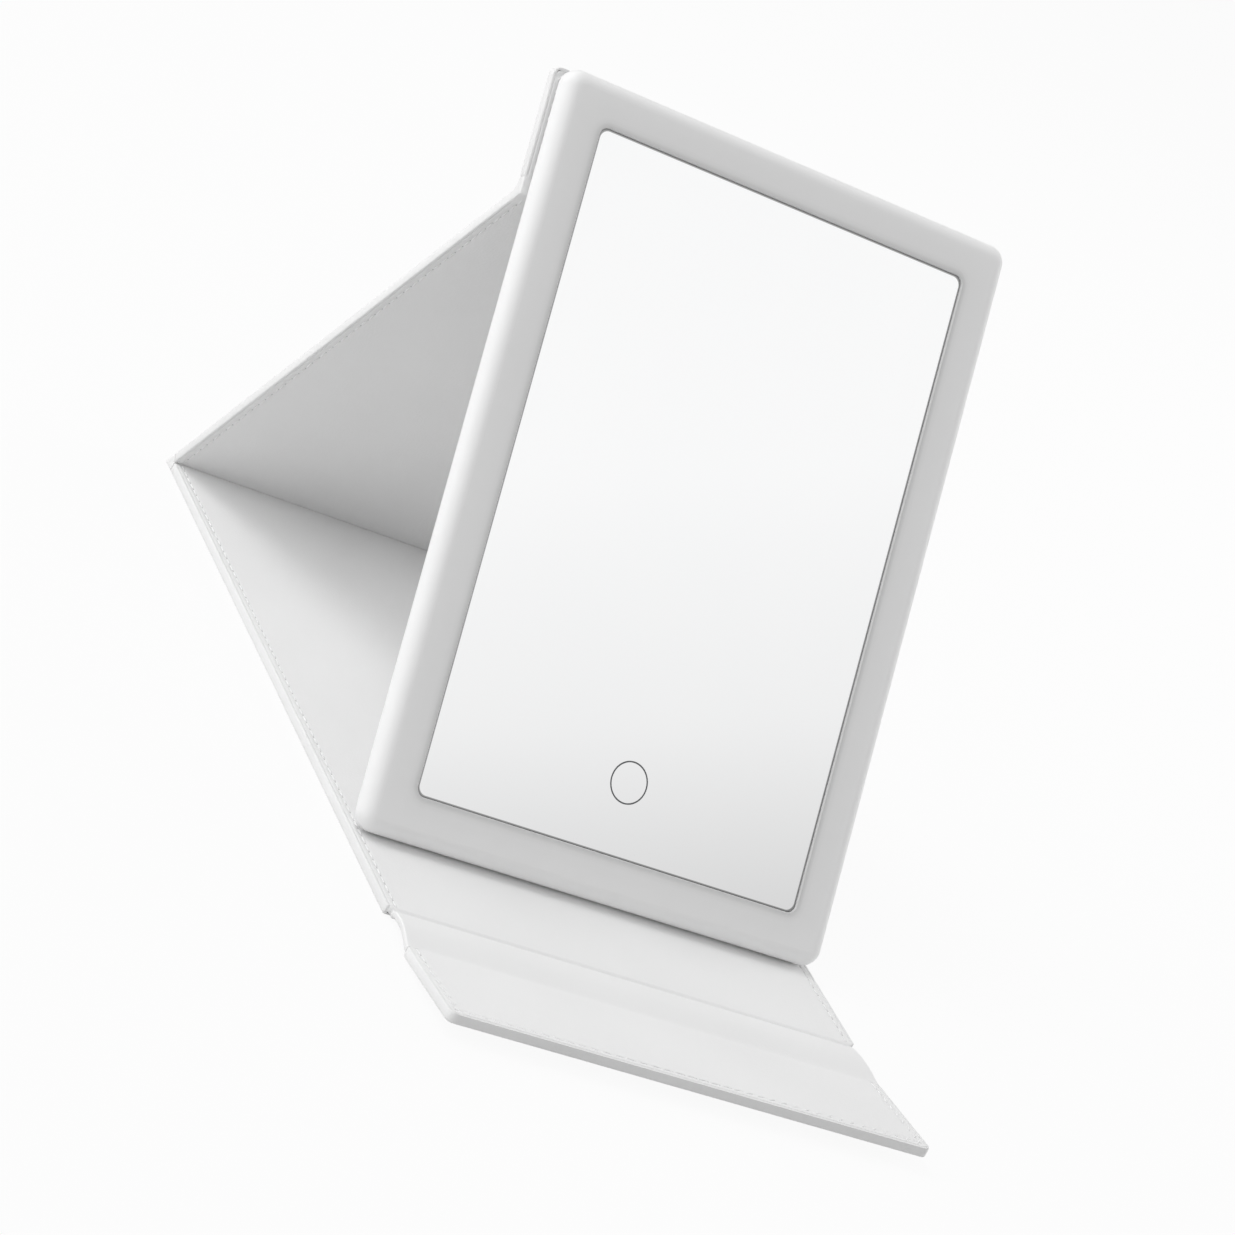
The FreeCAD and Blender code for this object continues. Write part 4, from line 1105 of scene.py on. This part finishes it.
strength = tree.new("ShaderNodeMath")
path = tree.new("ShaderNodeLightPath")
glossy = tree.new("ShaderNodeMixShader")
camera_first = tree.new("ShaderNodeMixShader")
link(way.outputs["Generated"], split.inputs["Vector"])
link(split.outputs["Z"], bright.inputs["Fac"])
link(split.outputs["Y"], front.inputs["Value"])
link(split.outputs["X"], left.inputs["Value"])
link(front.outputs["Result"], strength.inputs[0])
link(left.outputs["Result"], strength.inputs[1])
link(strength.outputs["Value"], fill.inputs["Strength"])
link(bright.outputs["Color"], sky.inputs["Color"])
link(path.outputs["Is Glossy Ray"], glossy.inputs["Fac"])
link(fill.outputs["Background"], glossy.inputs[1])
link(sky.outputs["Background"], glossy.inputs[2])
link(path.outputs["Is Camera Ray"], camera_first.inputs["Fac"])
link(glossy.outputs["Shader"], camera_first.inputs[1])
link(white.outputs["Background"], camera_first.inputs[2])
link(camera_first.outputs["Shader"], tree["World Output"].inputs["Surface"])


def soft_light(name, spot, aim, size, power):
    """A square area light aimed at a point, not shown in reflections."""
    lamp = bpy.data.lights.new(name, "AREA")
    lamp.shape = "SQUARE"
    lamp.size = size
    lamp.energy = power
    thing = bpy.data.objects.new(name, lamp)
    thing.location = spot
    thing.rotation_euler = (Vector(aim) - Vector(spot)).to_track_quat("-Z", "Y").to_euler()
    thing.visible_glossy = False
    bpy.context.scene.collection.objects.link(thing)


soft_light("key_light", (-0.9, 0.36, 1.5), (0, 0, 0.05), 0.75, 7.6)
soft_light("left_light", (-1.35, 0.15, 0.3), (0, 0.05, 0.05), 0.9, 3.0)
soft_light("right_light", (1.3, 0.15, 0.3), (0, 0.05, 0.05), 0.8, 9.0)


# Camera
# It stands and is turned as for the photograph, from the front left and above, a little tilted.
# Its focal length is the photograph's, in pixels of a square picture.

FOCAL_PIXELS = 4239.322
PICTURE_PIXELS = 1235
camera = bpy.data.cameras.new("camera")
camera.sensor_width = 36.0
camera.lens = FOCAL_PIXELS * camera.sensor_width / PICTURE_PIXELS
viewer = bpy.data.objects.new("camera", camera)
right = Vector((0.8161004, -0.3148304, 0.4846256))
down = Vector((0.2864071, -0.5080212, -0.8123333))
ahead = Vector((0.5019473, 0.8017458, -0.3244266))
turned = Matrix((right, -down, -ahead)).transposed().to_4x4()
turned.translation = (-0.5923004, -0.9696444, 0.4423224)
viewer.matrix_world = turned
bpy.context.scene.collection.objects.link(viewer)
bpy.context.scene.camera = viewer
bpy.context.scene.view_settings.view_transform = "Standard"
